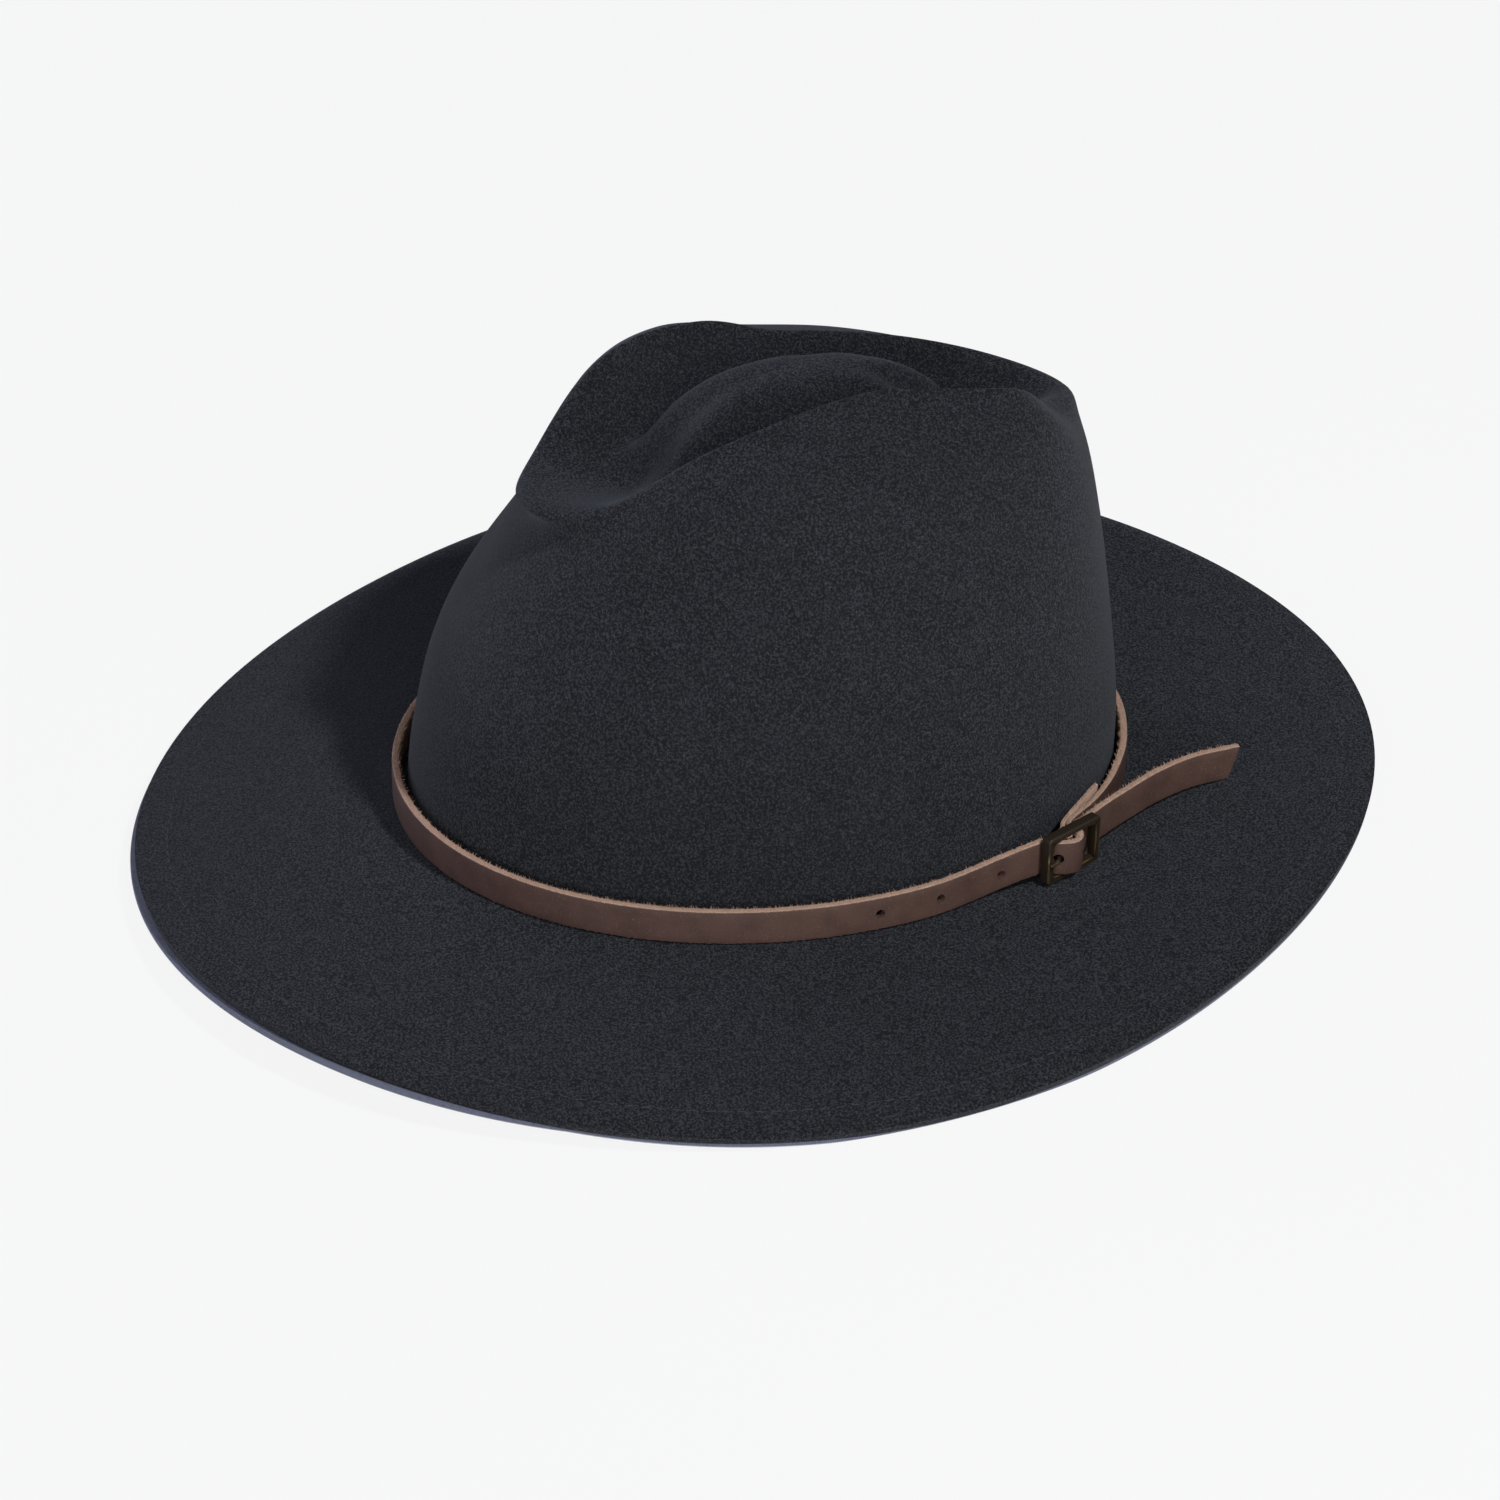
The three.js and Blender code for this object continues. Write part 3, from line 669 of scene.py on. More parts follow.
class HatStageSettings(bpy.types.PropertyGroup):
    """Floor and light"""

    floor_colour: colour_setting("Floor", "Colour of the floor", (0.93, 0.93, 0.93))
    sky: FloatProperty(name="Sky", description="Strength of the even light", default=0.03, min=0, max=5)
    key: power_setting("Key", "Power of the key light", 17)
    front: power_setting("Front", "Power of the low light at the camera", 12.5)
    fill: power_setting("Fill", "Power of the bluish fill light", 9)
    back: power_setting("Back", "Power of the light from behind on the left", 3.5)


# Materials


def toned(colour, factor):
    return tuple(c * factor for c in colour)



def felt_material(settings):
    material, tree, shader = new_material("Wool felt")
    place = object_coordinates(tree)
    nap = place_group(tree, fibre_group(), (-900, 200), place, Scale=1.0, Cover=0.5)
    clouds = noise_node(tree, (-900, -200), 55, detail=3.0)
    tree.links.new(place, clouds.inputs["Vector"])
    ground = colour_mix(
        tree, (-500, -100), range_node(tree, (-700, -200), clouds.outputs["Fac"], 0.35, 0.65),
        toned(settings.colour, 0.92), toned(settings.colour, 1.1),
    )
    colour = colour_mix(tree, (-250, 100), nap.outputs["Fibres"], ground, tuple(settings.fibre_colour))
    tree.links.new(colour, shader.inputs["Base Color"])
    tree.links.new(bump(tree, (-300, -300), nap.outputs["Height"], 0.55, 0.00025), shader.inputs["Normal"])
    shader.inputs["Roughness"].default_value = 0.95
    shader.inputs["Specular IOR Level"].default_value = 0.15
    shader.inputs["Sheen Weight"].default_value = 0.09
    shader.inputs["Sheen Roughness"].default_value = 0.45
    shader.inputs["Sheen Tint"].default_value = (0.8, 0.84, 1.0, 1)
    return material


def ribbon_material(settings):
    material, tree, shader = new_material("Ribbed ribbon")
    place = object_coordinates(tree)
    weave = noise_node(tree, (-900, 0), 900, detail=2.0)
    tree.links.new(place, weave.inputs["Vector"])
    ribs = attribute(tree, (-900, -250), "rib")
    threads = range_node(tree, (-700, 0), weave.outputs["Fac"], 0.2, 0.6, 0.55, 1.0)
    share = math_node(tree, (-500, -250), "MULTIPLY", ribs, threads)
    # Painted shade: the grooves between the ribs, where rib is 0, get a quarter of the ribbon's colour.
    colour = colour_mix(tree, (-250, 0), share, toned(settings.colour, 0.25), tuple(settings.colour))
    tree.links.new(colour, shader.inputs["Base Color"])
    tree.links.new(bump(tree, (-300, -300), weave.outputs["Fac"], 0.3, 0.0001), shader.inputs["Normal"])
    shader.inputs["Roughness"].default_value = 0.6
    shader.inputs["Sheen Weight"].default_value = 0.15
    return material


def thread_material(settings):
    material, tree, shader = new_material("Sewing thread")
    place = object_coordinates(tree)
    nap = place_group(tree, fibre_group(), (-700, 0), place, Scale=2.5, Cover=0.6)
    dark, light = toned(settings.thread_colour, 0.7), toned(settings.thread_colour, 1.25)
    colour = colour_mix(tree, (-300, 0), nap.outputs["Fibres"], dark, light)
    tree.links.new(colour, shader.inputs["Base Color"])
    tree.links.new(bump(tree, (-300, -300), nap.outputs["Height"], 0.4, 0.00008), shader.inputs["Normal"])
    shader.inputs["Roughness"].default_value = 0.7
    return material


def leather_material(settings):
    material, tree, shader = new_material("Brown leather")
    place = object_coordinates(tree)
    grain = place_group(tree, grain_group(), (-1000, 200), place, Scale=1.0)
    fibres = place_group(tree, fibre_group(), (-1000, -150), place, Scale=1.2, Cover=0.6)
    raw = attribute(tree, (-1000, -450), "raw")
    ragged = math_node(tree, (-850, -600), "MULTIPLY", fibres.outputs["Height"], 0.15)
    ragged = math_node(tree, (-750, -450), "ADD", raw, ragged)
    raw_mask = range_node(tree, (-550, -450), ragged, 0.45, 0.75)
    dark, light = toned(settings.colour, 0.62), toned(settings.colour, 1.38)
    face = colour_mix(tree, (-700, 200), grain.outputs["Mottle"], dark, light)
    specks = math_node(tree, (-700, 350), "MULTIPLY", grain.outputs["Specks"], 0.5)
    face = colour_mix(tree, (-500, 200), specks, face, (0.2, 0.14, 0.11))
    flesh = settings.raw_colour
    cut = colour_mix(tree, (-500, -100), fibres.outputs["Fibres"], toned(flesh, 0.7), toned(flesh, 1.25))
    stains = math_node(tree, (-550, -250), "MULTIPLY", grain.outputs["Mottle"], 0.4)
    cut = colour_mix(tree, (-400, -250), stains, cut, toned(flesh, 0.6))
    colour = colour_mix(tree, (-250, 100), raw_mask, face, cut)
    tree.links.new(colour, shader.inputs["Base Color"])
    tree.links.new(range_node(tree, (-250, -100), raw_mask, 0.0, 1.0, 0.55, 0.9), shader.inputs["Roughness"])
    fine = bump(tree, (-450, -700), grain.outputs["Height"], 0.35, 0.00012)
    height = math_node(tree, (-450, -850), "MULTIPLY", fibres.outputs["Height"], raw_mask)
    tree.links.new(bump(tree, (-250, -700), height, 0.4, 0.0001, fine), shader.inputs["Normal"])
    shader.inputs["Specular IOR Level"].default_value = 0.35
    return material


def brass_material(settings):
    material, tree, shader = new_material("Antique brass")
    place = object_coordinates(tree)
    grain = place_group(tree, grain_group(), (-1000, 0), place, Scale=0.7)
    # rubbed: the frame's edges worn bare, plus a painted highlight where the light falls on them, brightest
    # on the left and bottom bars. The rest is dark patina.
    rubbed = attribute(tree, (-1000, -300), "rubbed")
    uneven = math_node(tree, (-850, -450), "MULTIPLY", grain.outputs["Mottle"], 0.5)
    uneven = math_node(tree, (-700, -300), "ADD", rubbed, uneven)
    worn_and_lit = range_node(tree, (-500, -300), uneven, 0.55, 0.95)
    dulled = toned(settings.colour, 0.6)
    bright = colour_mix(tree, (-500, 100), grain.outputs["Specks"], tuple(settings.colour), dulled)
    colour = colour_mix(tree, (-250, 100), worn_and_lit, tuple(settings.patina_colour), bright)
    tree.links.new(colour, shader.inputs["Base Color"])
    tree.links.new(range_node(tree, (-250, -100), worn_and_lit, 0.0, 1.0, 0.55, 1.0), shader.inputs["Metallic"])
    tree.links.new(range_node(tree, (-250, -250), worn_and_lit, 0.0, 1.0, 0.55, 0.28), shader.inputs["Roughness"])
    tree.links.new(bump(tree, (-250, -500), grain.outputs["Height"], 0.15, 0.0001), shader.inputs["Normal"])
    return material


def floor_material(settings):
    material, tree, shader = new_material("Pale floor")
    place = object_coordinates(tree)
    tone = noise_node(tree, (-600, 0), 3.0, detail=2.0)
    tree.links.new(place, tone.inputs["Vector"])
    base = settings.floor_colour
    colour = colour_mix(tree, (-300, 0), tone.outputs["Fac"], toned(base, 0.06), toned(base, 0.063))
    tree.links.new(colour, shader.inputs["Base Color"])
    shader.inputs["Roughness"].default_value = 0.95
    shader.inputs["Specular IOR Level"].default_value = 0.0
    shader.inputs["Emission Color"].default_value = (*base, 1)
    shader.inputs["Emission Strength"].default_value = 0.95
    return material


# Pieces

# Rows of the felt's mesh in each span between two points of its contour
FELT_ROWS = (5, 4, 4, 6, 6, 6, 6, 5, 3, 3, 4, 6, 8, 8, 8, 6, 5, 5, 5, 6, 6, 4)


# The bevel of the cut edge: its width as a share of the thickness, and the angle that counts as an edge
FELT_EDGE = {"round": 0.38, "sharper_than": 60}


class HAT_OT_felt(bpy.types.Operator):
    """Models crown and brim in one piece of felt"""

    bl_idname = "hat.felt"
    bl_label = "Felt body"

    def execute(self, context):
        settings = context.scene.hat_felt
        columns = settings.columns
        places = [span + j / rows for span, rows in enumerate(FELT_ROWS) for j in range(rows)]
        places.append(len(FELT_ROWS))
        lines = [contour(360 * i / columns) for i in range(columns)]

        def place(column, row):
            return settle(smooth_curve(lines[column % columns], places[row]))

        felt, _, _ = shaped_grid("felt_body_look", columns, len(places) - 1, place)
        edit_mesh(felt, weld, face_outwards)
        top = max(felt.data.polygons, key=lambda face: face.center.z)
        if top.normal.z < 0:
            edit_mesh(felt, bpy.ops.mesh.flip_normals)
        apply_modifier(felt, "SOLIDIFY", thickness=settings.thickness, offset=-1, use_quality_normals=True)
        apply_modifier(
            felt, "BEVEL", width=settings.thickness * FELT_EDGE["round"], segments=3, limit_method="ANGLE",
            angle_limit=radians(FELT_EDGE["sharper_than"]),
        )
        smooth_shade(felt, 80)
        finish_piece(felt, felt_material(settings), "felt", "felt_body")
        return {"FINISHED"}


class HAT_OT_ribbon(bpy.types.Operator):
    """Models the ribbed ribbon under the brim's edge"""

    bl_idname = "hat.ribbon"
    bl_label = "Ribbon"

    def execute(self, context):
        settings = context.scene.hat_ribbon
        width = settings.width / MM
        thick = settings.thickness / MM
        rib = settings.rib_height / MM
        under = FELT + RIBBON_UNDER_FELT
        bend = TAPE["bend"]
        soft = thick / 4
        # Points round the ribbon's section: inwards, and down from its top. Up to the bend they are measured
        # from the ribbon's own outer edge, which follows the felt's, and beyond it from the felt's edge.
        section = (
            (width, soft), (width - soft, 0), (0.6 * width, 0), (bend, 0), (soft, 0), (0, soft),
            (0, thick - soft), (soft, thick), (bend, thick), (0.6 * width, thick),
            (width - soft, thick), (width, thick - soft),
        )
        steps = 3 * settings.ribs
        heights = (-1.0, 0.75, 0.75)

        def place(column, row):
            angle = 360 * (column % steps) / steps
            inside, drop = section[row % len(section)]
            wave = rib * heights[column % 3]
            centre = thick / 2
            drop += wave * (drop - centre) / centre
            if inside < bend:
                inside += mix(-TAPE["past_edge"], TAPE["under_roll"], min(1.0, 1.7 * rolled(angle))) - wave
            return settle(brim_point(angle, 1 - inside / overhang(angle), under + drop))

        ribbon, columns, _ = shaped_grid("edge_tape_look", steps, len(section), place)
        # rib is 0 along the grooves, which the material paints in shade.
        add_attribute(ribbon, "rib", [0.0 if c % 3 == 0 else 1.0 for c in columns])
        edit_mesh(ribbon, weld, face_outwards)
        smooth_shade(ribbon, 80)
        finish_piece(ribbon, ribbon_material(settings), "ribbon", "edge_tape")
        return {"FINISHED"}


class HAT_OT_stitching(bpy.types.Operator):
    """Sews the row of stitches that holds the ribbon, seen above and below the brim"""

    bl_idname = "hat.stitching"
    bl_label = "Stitching"

    def execute(self, context):
        settings = context.scene.hat_ribbon
        inset = settings.stitch_inset / MM
        pitch = settings.stitch_pitch / MM
        angles = [0.0]
        while angles[-1] < 360:
            angle = angles[-1]
            reach = overhang(angle)
            here = brim_point(angle, (reach - inset) / reach)
            ahead = brim_point(angle + 0.5, (reach - inset) / reach)
            angles.append(angle + 0.5 * pitch / (ahead - here).length)
        angles = angles[:-1]
        stretch = 360 / (angles[-1] + (angles[-1] - angles[-2]))
        deselect()
        bpy.ops.mesh.primitive_uv_sphere_add(segments=6, ring_count=5, radius=1)
        pattern = bpy.context.object
        bpy.ops.transform.resize(value=(1.55, 0.17, 0.13))
        bpy.ops.object.transform_apply(location=True, rotation=True, scale=True)
        stitches = []
        below = FELT + RIBBON_UNDER_FELT + settings.thickness / MM
        for side, drop in (("above", -0.03), ("below", below + 0.12)):
            for angle in angles:
                angle *= stretch
                reach = overhang(angle)
                share = (reach - inset) / reach
                uneven = noise.noise(Vector((angle * 3.7, drop, 0)))
                here = brim_point(angle + 0.02 * uneven, share + 0.003 * uneven, drop)
                along = (brim_point(angle + 0.5, share - 0.002 * uneven, drop) - here).normalized()
                inward = (here - brim_point(angle, share + 0.01, drop)).normalized()
                normal = along.cross(inward).normalized()
                if normal.z < 0:
                    normal = -normal
                across = normal.cross(along)
                turn = Matrix((along, across, normal)).transposed().to_4x4()
                copy = pattern.data.copy()
                copy.transform(Matrix.Translation(here) @ turn)
                copy.transform(ON_FLOOR)
                stitch = bpy.data.objects.new("stitch", copy)
                context.scene.collection.objects.link(stitch)
                stitches.append(stitch)
        bpy.data.objects.remove(pattern)
        row = join(stitches, "edge_stitches")
        for vertex in row.data.vertices:
            vertex.co.z = max(vertex.co.z, 0)
        edit_mesh(row, face_outwards)
        smooth_shade(row, 80)
        finish_piece(row, thread_material(settings), "ribbon")
        return {"FINISHED"}


def strap_section(thickness, width):
    """Points round the strip's section: out from its middle, height, and 1 where the leather is raw."""
    half = thickness / 2
    soft = min(0.42, half * 0.5)
    tight = 0.15
    return (
        (-half + tight, 0.0, 1.0), (-half * 0.4, 0.0, 1.0), (half * 0.2, 0.0, 1.0), (half - soft, 0.02, 1.0),
        (half - soft * 0.5, soft * 0.13, 0.75), (half - soft * 0.13, soft * 0.5, 0.2),
        (half, soft, 0.0), (half + 0.03, width * 0.25, 0.0), (half + 0.05, width * 0.5, 0.0),
        (half + 0.03, width * 0.75, 0.0), (half, width - soft, 0.0),
        (half - soft * 0.13, width - soft * 0.5, 0.2), (half - soft * 0.5, width - soft * 0.13, 0.75),
        (half - soft, width - 0.02, 1.0), (half * 0.2, width, 1.0), (-half * 0.4, width, 1.0),
        (-half + tight, width, 1.0), (-half, width - tight, 1.0), (-half, width * 0.7, 1.0),
        (-half, width * 0.5, 1.0), (-half, width * 0.3, 1.0), (-half, tight, 1.0),
    )


def strap_stations(step):
    """Even places along the strip: point, direction, share of its full thickness and distance to the tip."""
    route = strap_route()
    fine = 12
    last = len(route) - 1
    samples = [smooth_curve(route, i / fine, even=False) for i in range(last * fine + 1)]
    lengths = np.concatenate(([0.0], np.cumsum([(b - a).length for a, b in zip(samples, samples[1:])])))
    total = lengths[-1]
    count = int(total / step)
    places = np.interp(np.linspace(0, total, count + 1), lengths, np.arange(len(samples)) / fine)
    pared_end = len(TURNED_END) + len(FOLD) - 1
    stations = []
    for i, place in enumerate(places):
        place = float(min(place, last))
        point = smooth_curve(route, place, even=False)
        before = smooth_curve(route, max(place - 0.02, 0), even=False)
        after = smooth_curve(route, min(place + 0.02, last), even=False)
        way = after - before
        way.z = 0
        full = smooth_step(place, pared_end, pared_end + len(OUTER_LEG))
        stations.append((point, way.normalized(), full, total * (1 - i / count), total * i / count))
    return stations


def rough(point, scale, seed=0.0):
    return noise.noise(Vector((point[0] * scale, point[1] * scale, point[2] * scale + seed)))


class HAT_OT_belt(bpy.types.Operator):
    """Models the leather strip with its raw edges, punched holes and frayed flesh side"""

    bl_idname = "hat.belt"
    bl_label = "Belt"

    def execute(self, context):
        settings = context.scene.hat_belt
        width = settings.width / MM
        thick = settings.thickness / MM
        uneven = settings.roughness / MM
        stations = strap_stations(settings.step / MM)
        sections = []
        for _, _, full, _, _ in stations:
            sections.append(strap_section(mix(STRAP["pared"], thick, full), width))
        count = len(sections[0])

        def place(column, row):
            point, way, _, to_tip, from_end = stations[column]
            out, height, raw = sections[column][row % count]
            side = Vector((way.y, -way.x, 0))
            lean = TIP_SLANT * (height / width) * max(0.0, 1 - to_tip / 9) ** 2
            if raw > 0.5 and (height < 1 or height > width - 1):
                wave = rough((from_end, out * 1.5, height), 0.9)
                wave += 0.6 * rough((from_end, out * 2, height), 2.3, 7.0)
                height += uneven * wave * 1.6
                out += uneven * 0.6 * rough((from_end, out, height), 1.3, 3.0)
            elif raw > 0.5:
                out += uneven * 0.5 * rough((from_end, 0, height), 1.1, 5.0)
            return settle(point + side * out + way * lean + Vector((0, 0, height)))

        strip, columns, rows = shaped_grid("belt_strap_look", len(stations) - 1, count, place)
        add_attribute(strip, "raw", [sections[c][r % count][2] for c, r in zip(columns, rows)])
        edit_mesh(strip, weld, close_holes, face_outwards)
        self.punch(strip, width)
        edit_mesh(strip, weld)
        smooth_shade(strip, 60)
        finish_piece(strip, leather_material(settings), "leather", "belt_strap")
        self.fray(stations, width, settings)
        return {"FINISHED"}

    def fray(self, stations, width, settings):
        """Stands loose fibres of leather along the top of the strip's flesh side."""
        deselect()
        bpy.ops.mesh.primitive_cone_add(vertices=3, radius1=FRAY["radius"], depth=1)
        pattern = bpy.context.object
        pattern.data.transform(Matrix.Translation((0, 0, 0.5)))
        add_attribute(pattern, "raw", [1.0] * len(pattern.data.vertices))
        fibres = []
        for i in range(FRAY["count"]):
            share = (i + 0.5) / FRAY["count"]
            point, way, full, _, _ = stations[int(share * (len(stations) - 1))]
            side = Vector((way.y, -way.x, 0))
            lean, swing, size = (noise.noise(Vector((i * 7.31, k * 13.7, 0.5))) for k in range(3))
            across = mix(FRAY["in"], FRAY["out"], 0.5 + swing) * full
            foot = point + side * across + Vector((0, 0, width - 0.25))
            aim = (Vector((0, 0, 1)) + way * 2.2 * lean + side * (1.6 * swing - 0.3)).normalized()
            copy = pattern.data.copy()
            copy.transform(Matrix.Scale(FRAY["length"] * (1 + 1.1 * size), 4, (0, 0, 1)))
            copy.transform(Matrix.Translation(foot) @ aim.to_track_quat("Z", "Y").to_matrix().to_4x4())
            copy.transform(ON_FLOOR)
            fibre = bpy.data.objects.new("fibre", copy)
            bpy.context.scene.collection.objects.link(fibre)
            fibres.append(fibre)
        bpy.data.objects.remove(pattern)
        row = join(fibres, "belt_fray")
        finish_piece(row, bpy.data.materials["Brown leather"], "leather")

    def punch(self, strip, width):
        """Cuts the punched holes, the prong's hole and the slot for the prong."""
        half = width / 2
        tools = []
        for angle in PUNCHED:
            z = strap_bottom(angle) + half
            near, far = (outside_point(angle, HOLE[end], z) for end in ("from", "to"))
            tools.append(self.punch_tool(near, far, HOLE["radius"]))
        z = RISE_AT_BUCKLE["buckle"] + half
        radius, reach = PRONG_HOLE["radius"], PRONG_HOLE["reach"]
        near = buckle_point(PRONG_HOLE["along"] + radius, PRONG_HOLE["out"] - radius, z)
        far = buckle_point(PRONG_HOLE["along"] - reach, PRONG_HOLE["out"] + reach, z)
        tools.append(self.punch_tool(near, far, radius))
        deselect()
        bpy.ops.mesh.primitive_cube_add(size=1)
        slot = bpy.context.object
        size = Matrix.Diagonal((PRONG_SLOT["length"], PRONG_SLOT["depth"], PRONG_SLOT["height"], 1))
        turn = Matrix.Rotation(radians(BUCKLE["turn"]), 4, "Z")
        at = Matrix.Translation(buckle_point(PRONG_SLOT["along"], PRONG_SLOT["out"], z))
        slot.data.transform(ON_FLOOR @ at @ turn @ size)
        tools.append(slot)
        for tool in tools:
            add_attribute(tool, "raw", [1.0] * len(tool.data.vertices))
            apply_modifier(strip, "BOOLEAN", operation="DIFFERENCE", object=tool, solver="MANIFOLD")
            bpy.data.objects.remove(tool)

    def punch_tool(self, near, far, radius):
        deselect()
        bpy.ops.mesh.primitive_cylinder_add(vertices=24, radius=radius, depth=(far - near).length)
        tool = bpy.context.object
        turn = (far - near).to_track_quat("Z", "Y").to_matrix().to_4x4()
        tool.data.transform(ON_FLOOR @ Matrix.Translation((near + far) / 2) @ turn)
        return tool


class HAT_OT_buckle(bpy.types.Operator):
    """Models the brass frame with its centre bar"""

    bl_idname = "hat.buckle"
    bl_label = "Buckle frame"

    def execute(self, context):
        settings = context.scene.hat_brass
        bar = settings.bar / MM
        length, height, depth = BUCKLE["length"], BUCKLE["height"], BUCKLE["depth"]
        deselect()
        bpy.ops.mesh.primitive_cube_add(size=1)
        rim = bpy.context.object
        rim.name = rim.data.name = "buckle_frame_look"
        bpy.ops.transform.resize(value=(length, depth, height))
        bpy.ops.object.transform_apply(location=True, rotation=True, scale=True)
        bpy.ops.object.mode_set(mode="EDIT")
        bpy.ops.mesh.select_mode(type="EDGE")
        self.select_where(rim, "edges", self.runs_outwards)
        bpy.ops.mesh.bevel(offset=BUCKLE_CORNER, segments=5, affect="EDGES")
        bpy.ops.mesh.select_mode(type="FACE")
        self.select_where(rim, "faces", lambda face: abs(face.normal.y) > 0.9)
        bpy.ops.mesh.inset(thickness=bar)
        bpy.ops.mesh.bridge_edge_loops()
        bpy.ops.mesh.select_mode(type="EDGE")
        self.select_where(rim, "edges", self.is_sharp)
        bpy.ops.mesh.bevel(offset=RUBBED_EDGE, segments=4, affect="EDGES")
        bpy.ops.object.mode_set(mode="OBJECT")
        add_attribute(rim, "rubbed", [self.rubbed(vertex.co) for vertex in rim.data.vertices])
        rim.data.transform(Matrix.Translation((BUCKLE["past_bar"], depth / 2, 0)))
        deselect()
        bpy.ops.mesh.primitive_cylinder_add(vertices=20, radius=CENTRE_BAR["radius"], depth=height - bar)
        post = bpy.context.object
        add_attribute(post, "rubbed", [0.0] * len(post.data.vertices))
        post.data.transform(Matrix.Translation((0, -CENTRE_BAR["out"], 0)))
        apply_modifier(rim, "BOOLEAN", operation="UNION", object=post, solver="EXACT")
        bpy.data.objects.remove(post)
        middle = buckle_point(0, 0, BUCKLE["bottom"] + height / 2)
        basis = Matrix((BUCKLE_ALONG, -BUCKLE_OUT, Vector((0, 0, 1)))).transposed().to_4x4()
        rim.data.transform(ON_FLOOR @ Matrix.Translation(middle) @ basis)
        edit_mesh(rim, face_outwards)
        smooth_shade(rim, 40)
        finish_piece(rim, brass_material(settings), "brass", "buckle_frame")
        return {"FINISHED"}

    def rubbed(self, point):
        """How bright the brass is on the outer face's rounded edges: worn bare there, with a painted
        highlight brightest on the left and bottom bars and painted shade that keeps it least at the top.
        """
        below_face = BUCKLE["depth"] / 2 + point.y
        if not 0.01 < below_face < RUBBED_EDGE * 0.95:
            return 0.0
        # Painted shade on the top bar
        if point.z > BUCKLE["height"] / 2 - SHADED_TOP_BAND:
            return 0.1
        # Painted highlight: the left and bottom bars are brighter than the right and top
        return 1.0 if point.x < 0 or point.z < 0 else 0.8

    def runs_outwards(self, edge):
        a, b = (vertex.co for vertex in edge.verts)
        return abs(a.x - b.x) < 1e-4 and abs(a.z - b.z) < 1e-4

    def is_sharp(self, edge):
        return len(edge.link_faces) == 2 and edge.calc_face_angle() > radians(40)

    def select_where(self, piece, kind, wanted):
        """Selects the piece's edges or faces that wanted says yes to."""
        bpy.ops.mesh.select_all(action="DESELECT")
        shell = bmesh.from_edit_mesh(piece.data)
        for part in getattr(shell, kind):
            part.select_set(wanted(part))
        bmesh.update_edit_mesh(piece.data)


class HAT_OT_prong(bpy.types.Operator):
    """Models the prong, hooked round the centre bar with its tip on the frame"""

    bl_idname = "hat.prong"
    bl_label = "Prong"

    def execute(self, context):
        z = RISE_AT_BUCKLE["buckle"] + context.scene.hat_belt.width / MM / 2
        hook = CENTRE_BAR["radius"] + PRONG["gap"] + PRONG["thickness"] / 2
        points = []
        for turn in range(20, -181, -40):
            a = radians(turn)
            points.append(buckle_point(hook * cos(a), CENTRE_BAR["out"] + hook * sin(a), z))
        points += [buckle_point(along, out, z) for along, out in PRONG_ROUTE]
        steps = 72
        sides = 12

        def place(column, row):
            share = column / steps * (len(points) - 1)
            point = smooth_curve(points, share, even=False)
            ahead = smooth_curve(points, min(share + 0.02, len(points) - 1), even=False)
            behind = smooth_curve(points, max(share - 0.02, 0), even=False)
            way = (ahead - behind).normalized()
            out = Vector((way.y, -way.x, 0))
            turn = 2 * pi * row / sides
            taper = 1 - 0.35 * smooth_step(share, len(points) - 3, len(points) - 1)
            close = sqrt(max(0.0, 1 - max(0.0, 1 - (steps - column) / 2) ** 2)) if column > steps - 2 else 1
            close = 0.6 if column == steps else close
            wide, deep = PRONG["width"] / 2 * taper * close, PRONG["thickness"] / 2 * close
            across = abs(cos(turn)) ** 0.7 * (1 if cos(turn) > 0 else -1)
            up = abs(sin(turn)) ** 0.7 * (1 if sin(turn) > 0 else -1)
            return settle(point + out * across * deep + Vector((0, 0, up * wide)))

        prong, columns, _ = shaped_grid("buckle_prong_look", steps, sides, place)
        add_attribute(prong, "rubbed", [0.35 * smooth_step(c / steps, 0.6, 0.9) for c in columns])
        edit_mesh(prong, weld, close_holes, face_outwards)
        smooth_shade(prong, 60)
        finish_piece(prong, brass_material(context.scene.hat_brass), "brass", "buckle_prong")
        return {"FINISHED"}


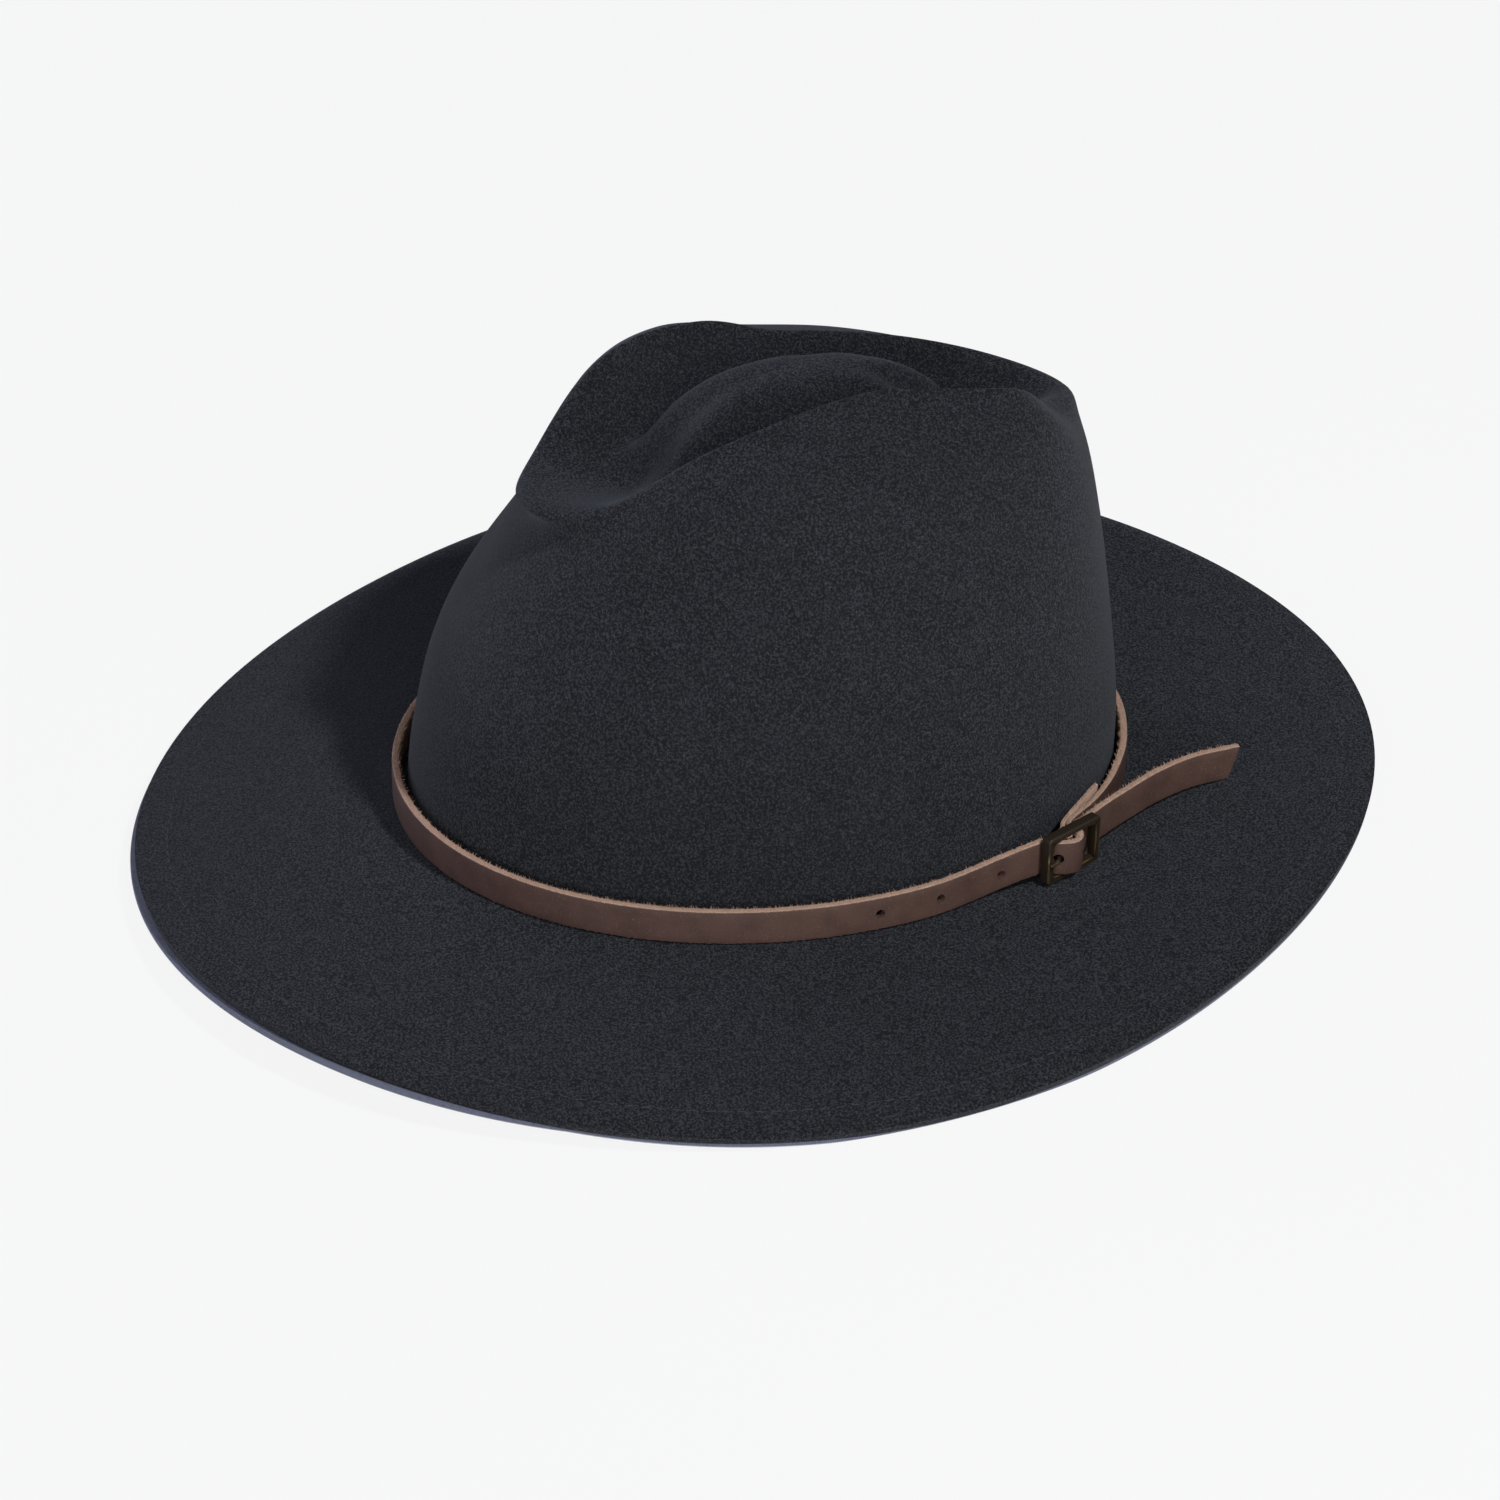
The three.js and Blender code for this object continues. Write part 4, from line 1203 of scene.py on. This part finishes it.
class HAT_OT_stage(bpy.types.Operator):
    """Lays the floor, sets the lights and places the camera at the photograph's angle"""

    bl_idname = "hat.stage"
    bl_label = "Stage"

    def execute(self, context):
        settings = context.scene.hat_stage
        deselect()
        bpy.ops.mesh.primitive_plane_add(size=8)
        ground = bpy.context.object
        ground.name = ground.data.name = "pale_floor"
        ground.data.materials.append(floor_material(settings))

        turn = (
            Matrix.Rotation(radians(CAMERA["azimuth"]), 4, "Z")
            @ Matrix.Rotation(radians(90 - CAMERA["elevation"]), 4, "X")
            @ Matrix.Rotation(radians(CAMERA["roll"]), 4, "Z")
        )
        place = Vector(CAMERA["aim"]) + turn.to_3x3() @ Vector((0, 0, CAMERA["distance"]))
        bpy.ops.object.camera_add(location=place, rotation=turn.to_euler())
        camera = bpy.context.object
        camera.data.lens = CAMERA_LENS
        camera.data.sensor_width = 36
        camera.data.dof.use_dof = False
        context.scene.camera = camera

        world = bpy.data.worlds.new("Studio")
        context.scene.world = world
        world.use_nodes = True
        sky = world.node_tree.nodes["Background"]
        sky.inputs["Color"].default_value = (1, 1, 1, 1)
        sky.inputs["Strength"].default_value = settings.sky

        self.area_light("Key", (46, 51), 1.6, 0.13, settings.key, (0.94, 0.99, 1.0))
        self.area_light("Front", (0, 12), 1.6, 1.2, settings.front, (1.0, 1.0, 0.9))
        self.area_light("Fill", (-45, 12), 1.6, 1.2, 0.6 * settings.fill, (0.66, 0.72, 1.0))
        self.area_light("Fill behind", (-135, 12), 1.6, 1.2, settings.fill, (0.71, 0.74, 1.0))
        self.area_light("Back", (-135, 42), 1.6, 1.2, settings.back, (1.0, 1.0, 1.0))
        context.scene.view_settings.view_transform = "Standard"
        return {"FINISHED"}

    def area_light(self, name, way, distance, size, power, colour):
        """way: azimuth to the right of the camera, and elevation."""
        azimuth = radians(CAMERA["azimuth"] + way[0])
        height = radians(way[1])
        back = Vector((sin(azimuth) * cos(height), -cos(azimuth) * cos(height), sin(height)))
        turn = back.to_track_quat("Z", "Y").to_euler()
        bpy.ops.object.light_add(type="AREA", location=back * distance, rotation=turn)
        lamp = bpy.context.object
        lamp.name = lamp.data.name = name
        lamp.data.size = size
        lamp.data.energy = power
        lamp.data.color = colour


class HAT_PT_panel(bpy.types.Panel):
    """Lists the hat's pieces and their settings"""

    bl_label = "Rancher hat"
    bl_idname = "HAT_PT_panel"
    bl_space_type = "VIEW_3D"
    bl_region_type = "UI"
    bl_category = "Hat"

    def draw(self, context):
        for name, operators in SECTIONS:
            box = self.layout.box()
            settings = getattr(context.scene, name)
            for operator in operators:
                box.operator(operator)
            for prop in settings.__annotations__:
                box.prop(settings, prop)


SETTINGS = {
    "hat_felt": HatFeltSettings,
    "hat_ribbon": HatRibbonSettings,
    "hat_belt": HatBeltSettings,
    "hat_brass": HatBrassSettings,
    "hat_stage": HatStageSettings,
}
SECTIONS = (
    ("hat_felt", ("hat.felt",)),
    ("hat_ribbon", ("hat.ribbon", "hat.stitching")),
    ("hat_belt", ("hat.belt",)),
    ("hat_brass", ("hat.buckle", "hat.prong")),
    ("hat_stage", ("hat.stage",)),
)
CLASSES = (
    *SETTINGS.values(), HAT_OT_felt, HAT_OT_ribbon, HAT_OT_stitching, HAT_OT_belt, HAT_OT_buckle,
    HAT_OT_prong, HAT_OT_stage, HAT_PT_panel,
)


def register():
    for cls in CLASSES:
        bpy.utils.register_class(cls)
    for name, cls in SETTINGS.items():
        setattr(bpy.types.Scene, name, PointerProperty(type=cls))


def unregister():
    for name in SETTINGS:
        delattr(bpy.types.Scene, name)
    for cls in reversed(CLASSES):
        bpy.utils.unregister_class(cls)


def main():
    register()
    deselect()
    bpy.ops.hat.felt()
    bpy.ops.hat.ribbon()
    bpy.ops.hat.stitching()
    bpy.ops.hat.belt()
    bpy.ops.hat.buckle()
    bpy.ops.hat.prong()
    bpy.ops.hat.stage()
    deselect()


if __name__ == "__main__":
    main()
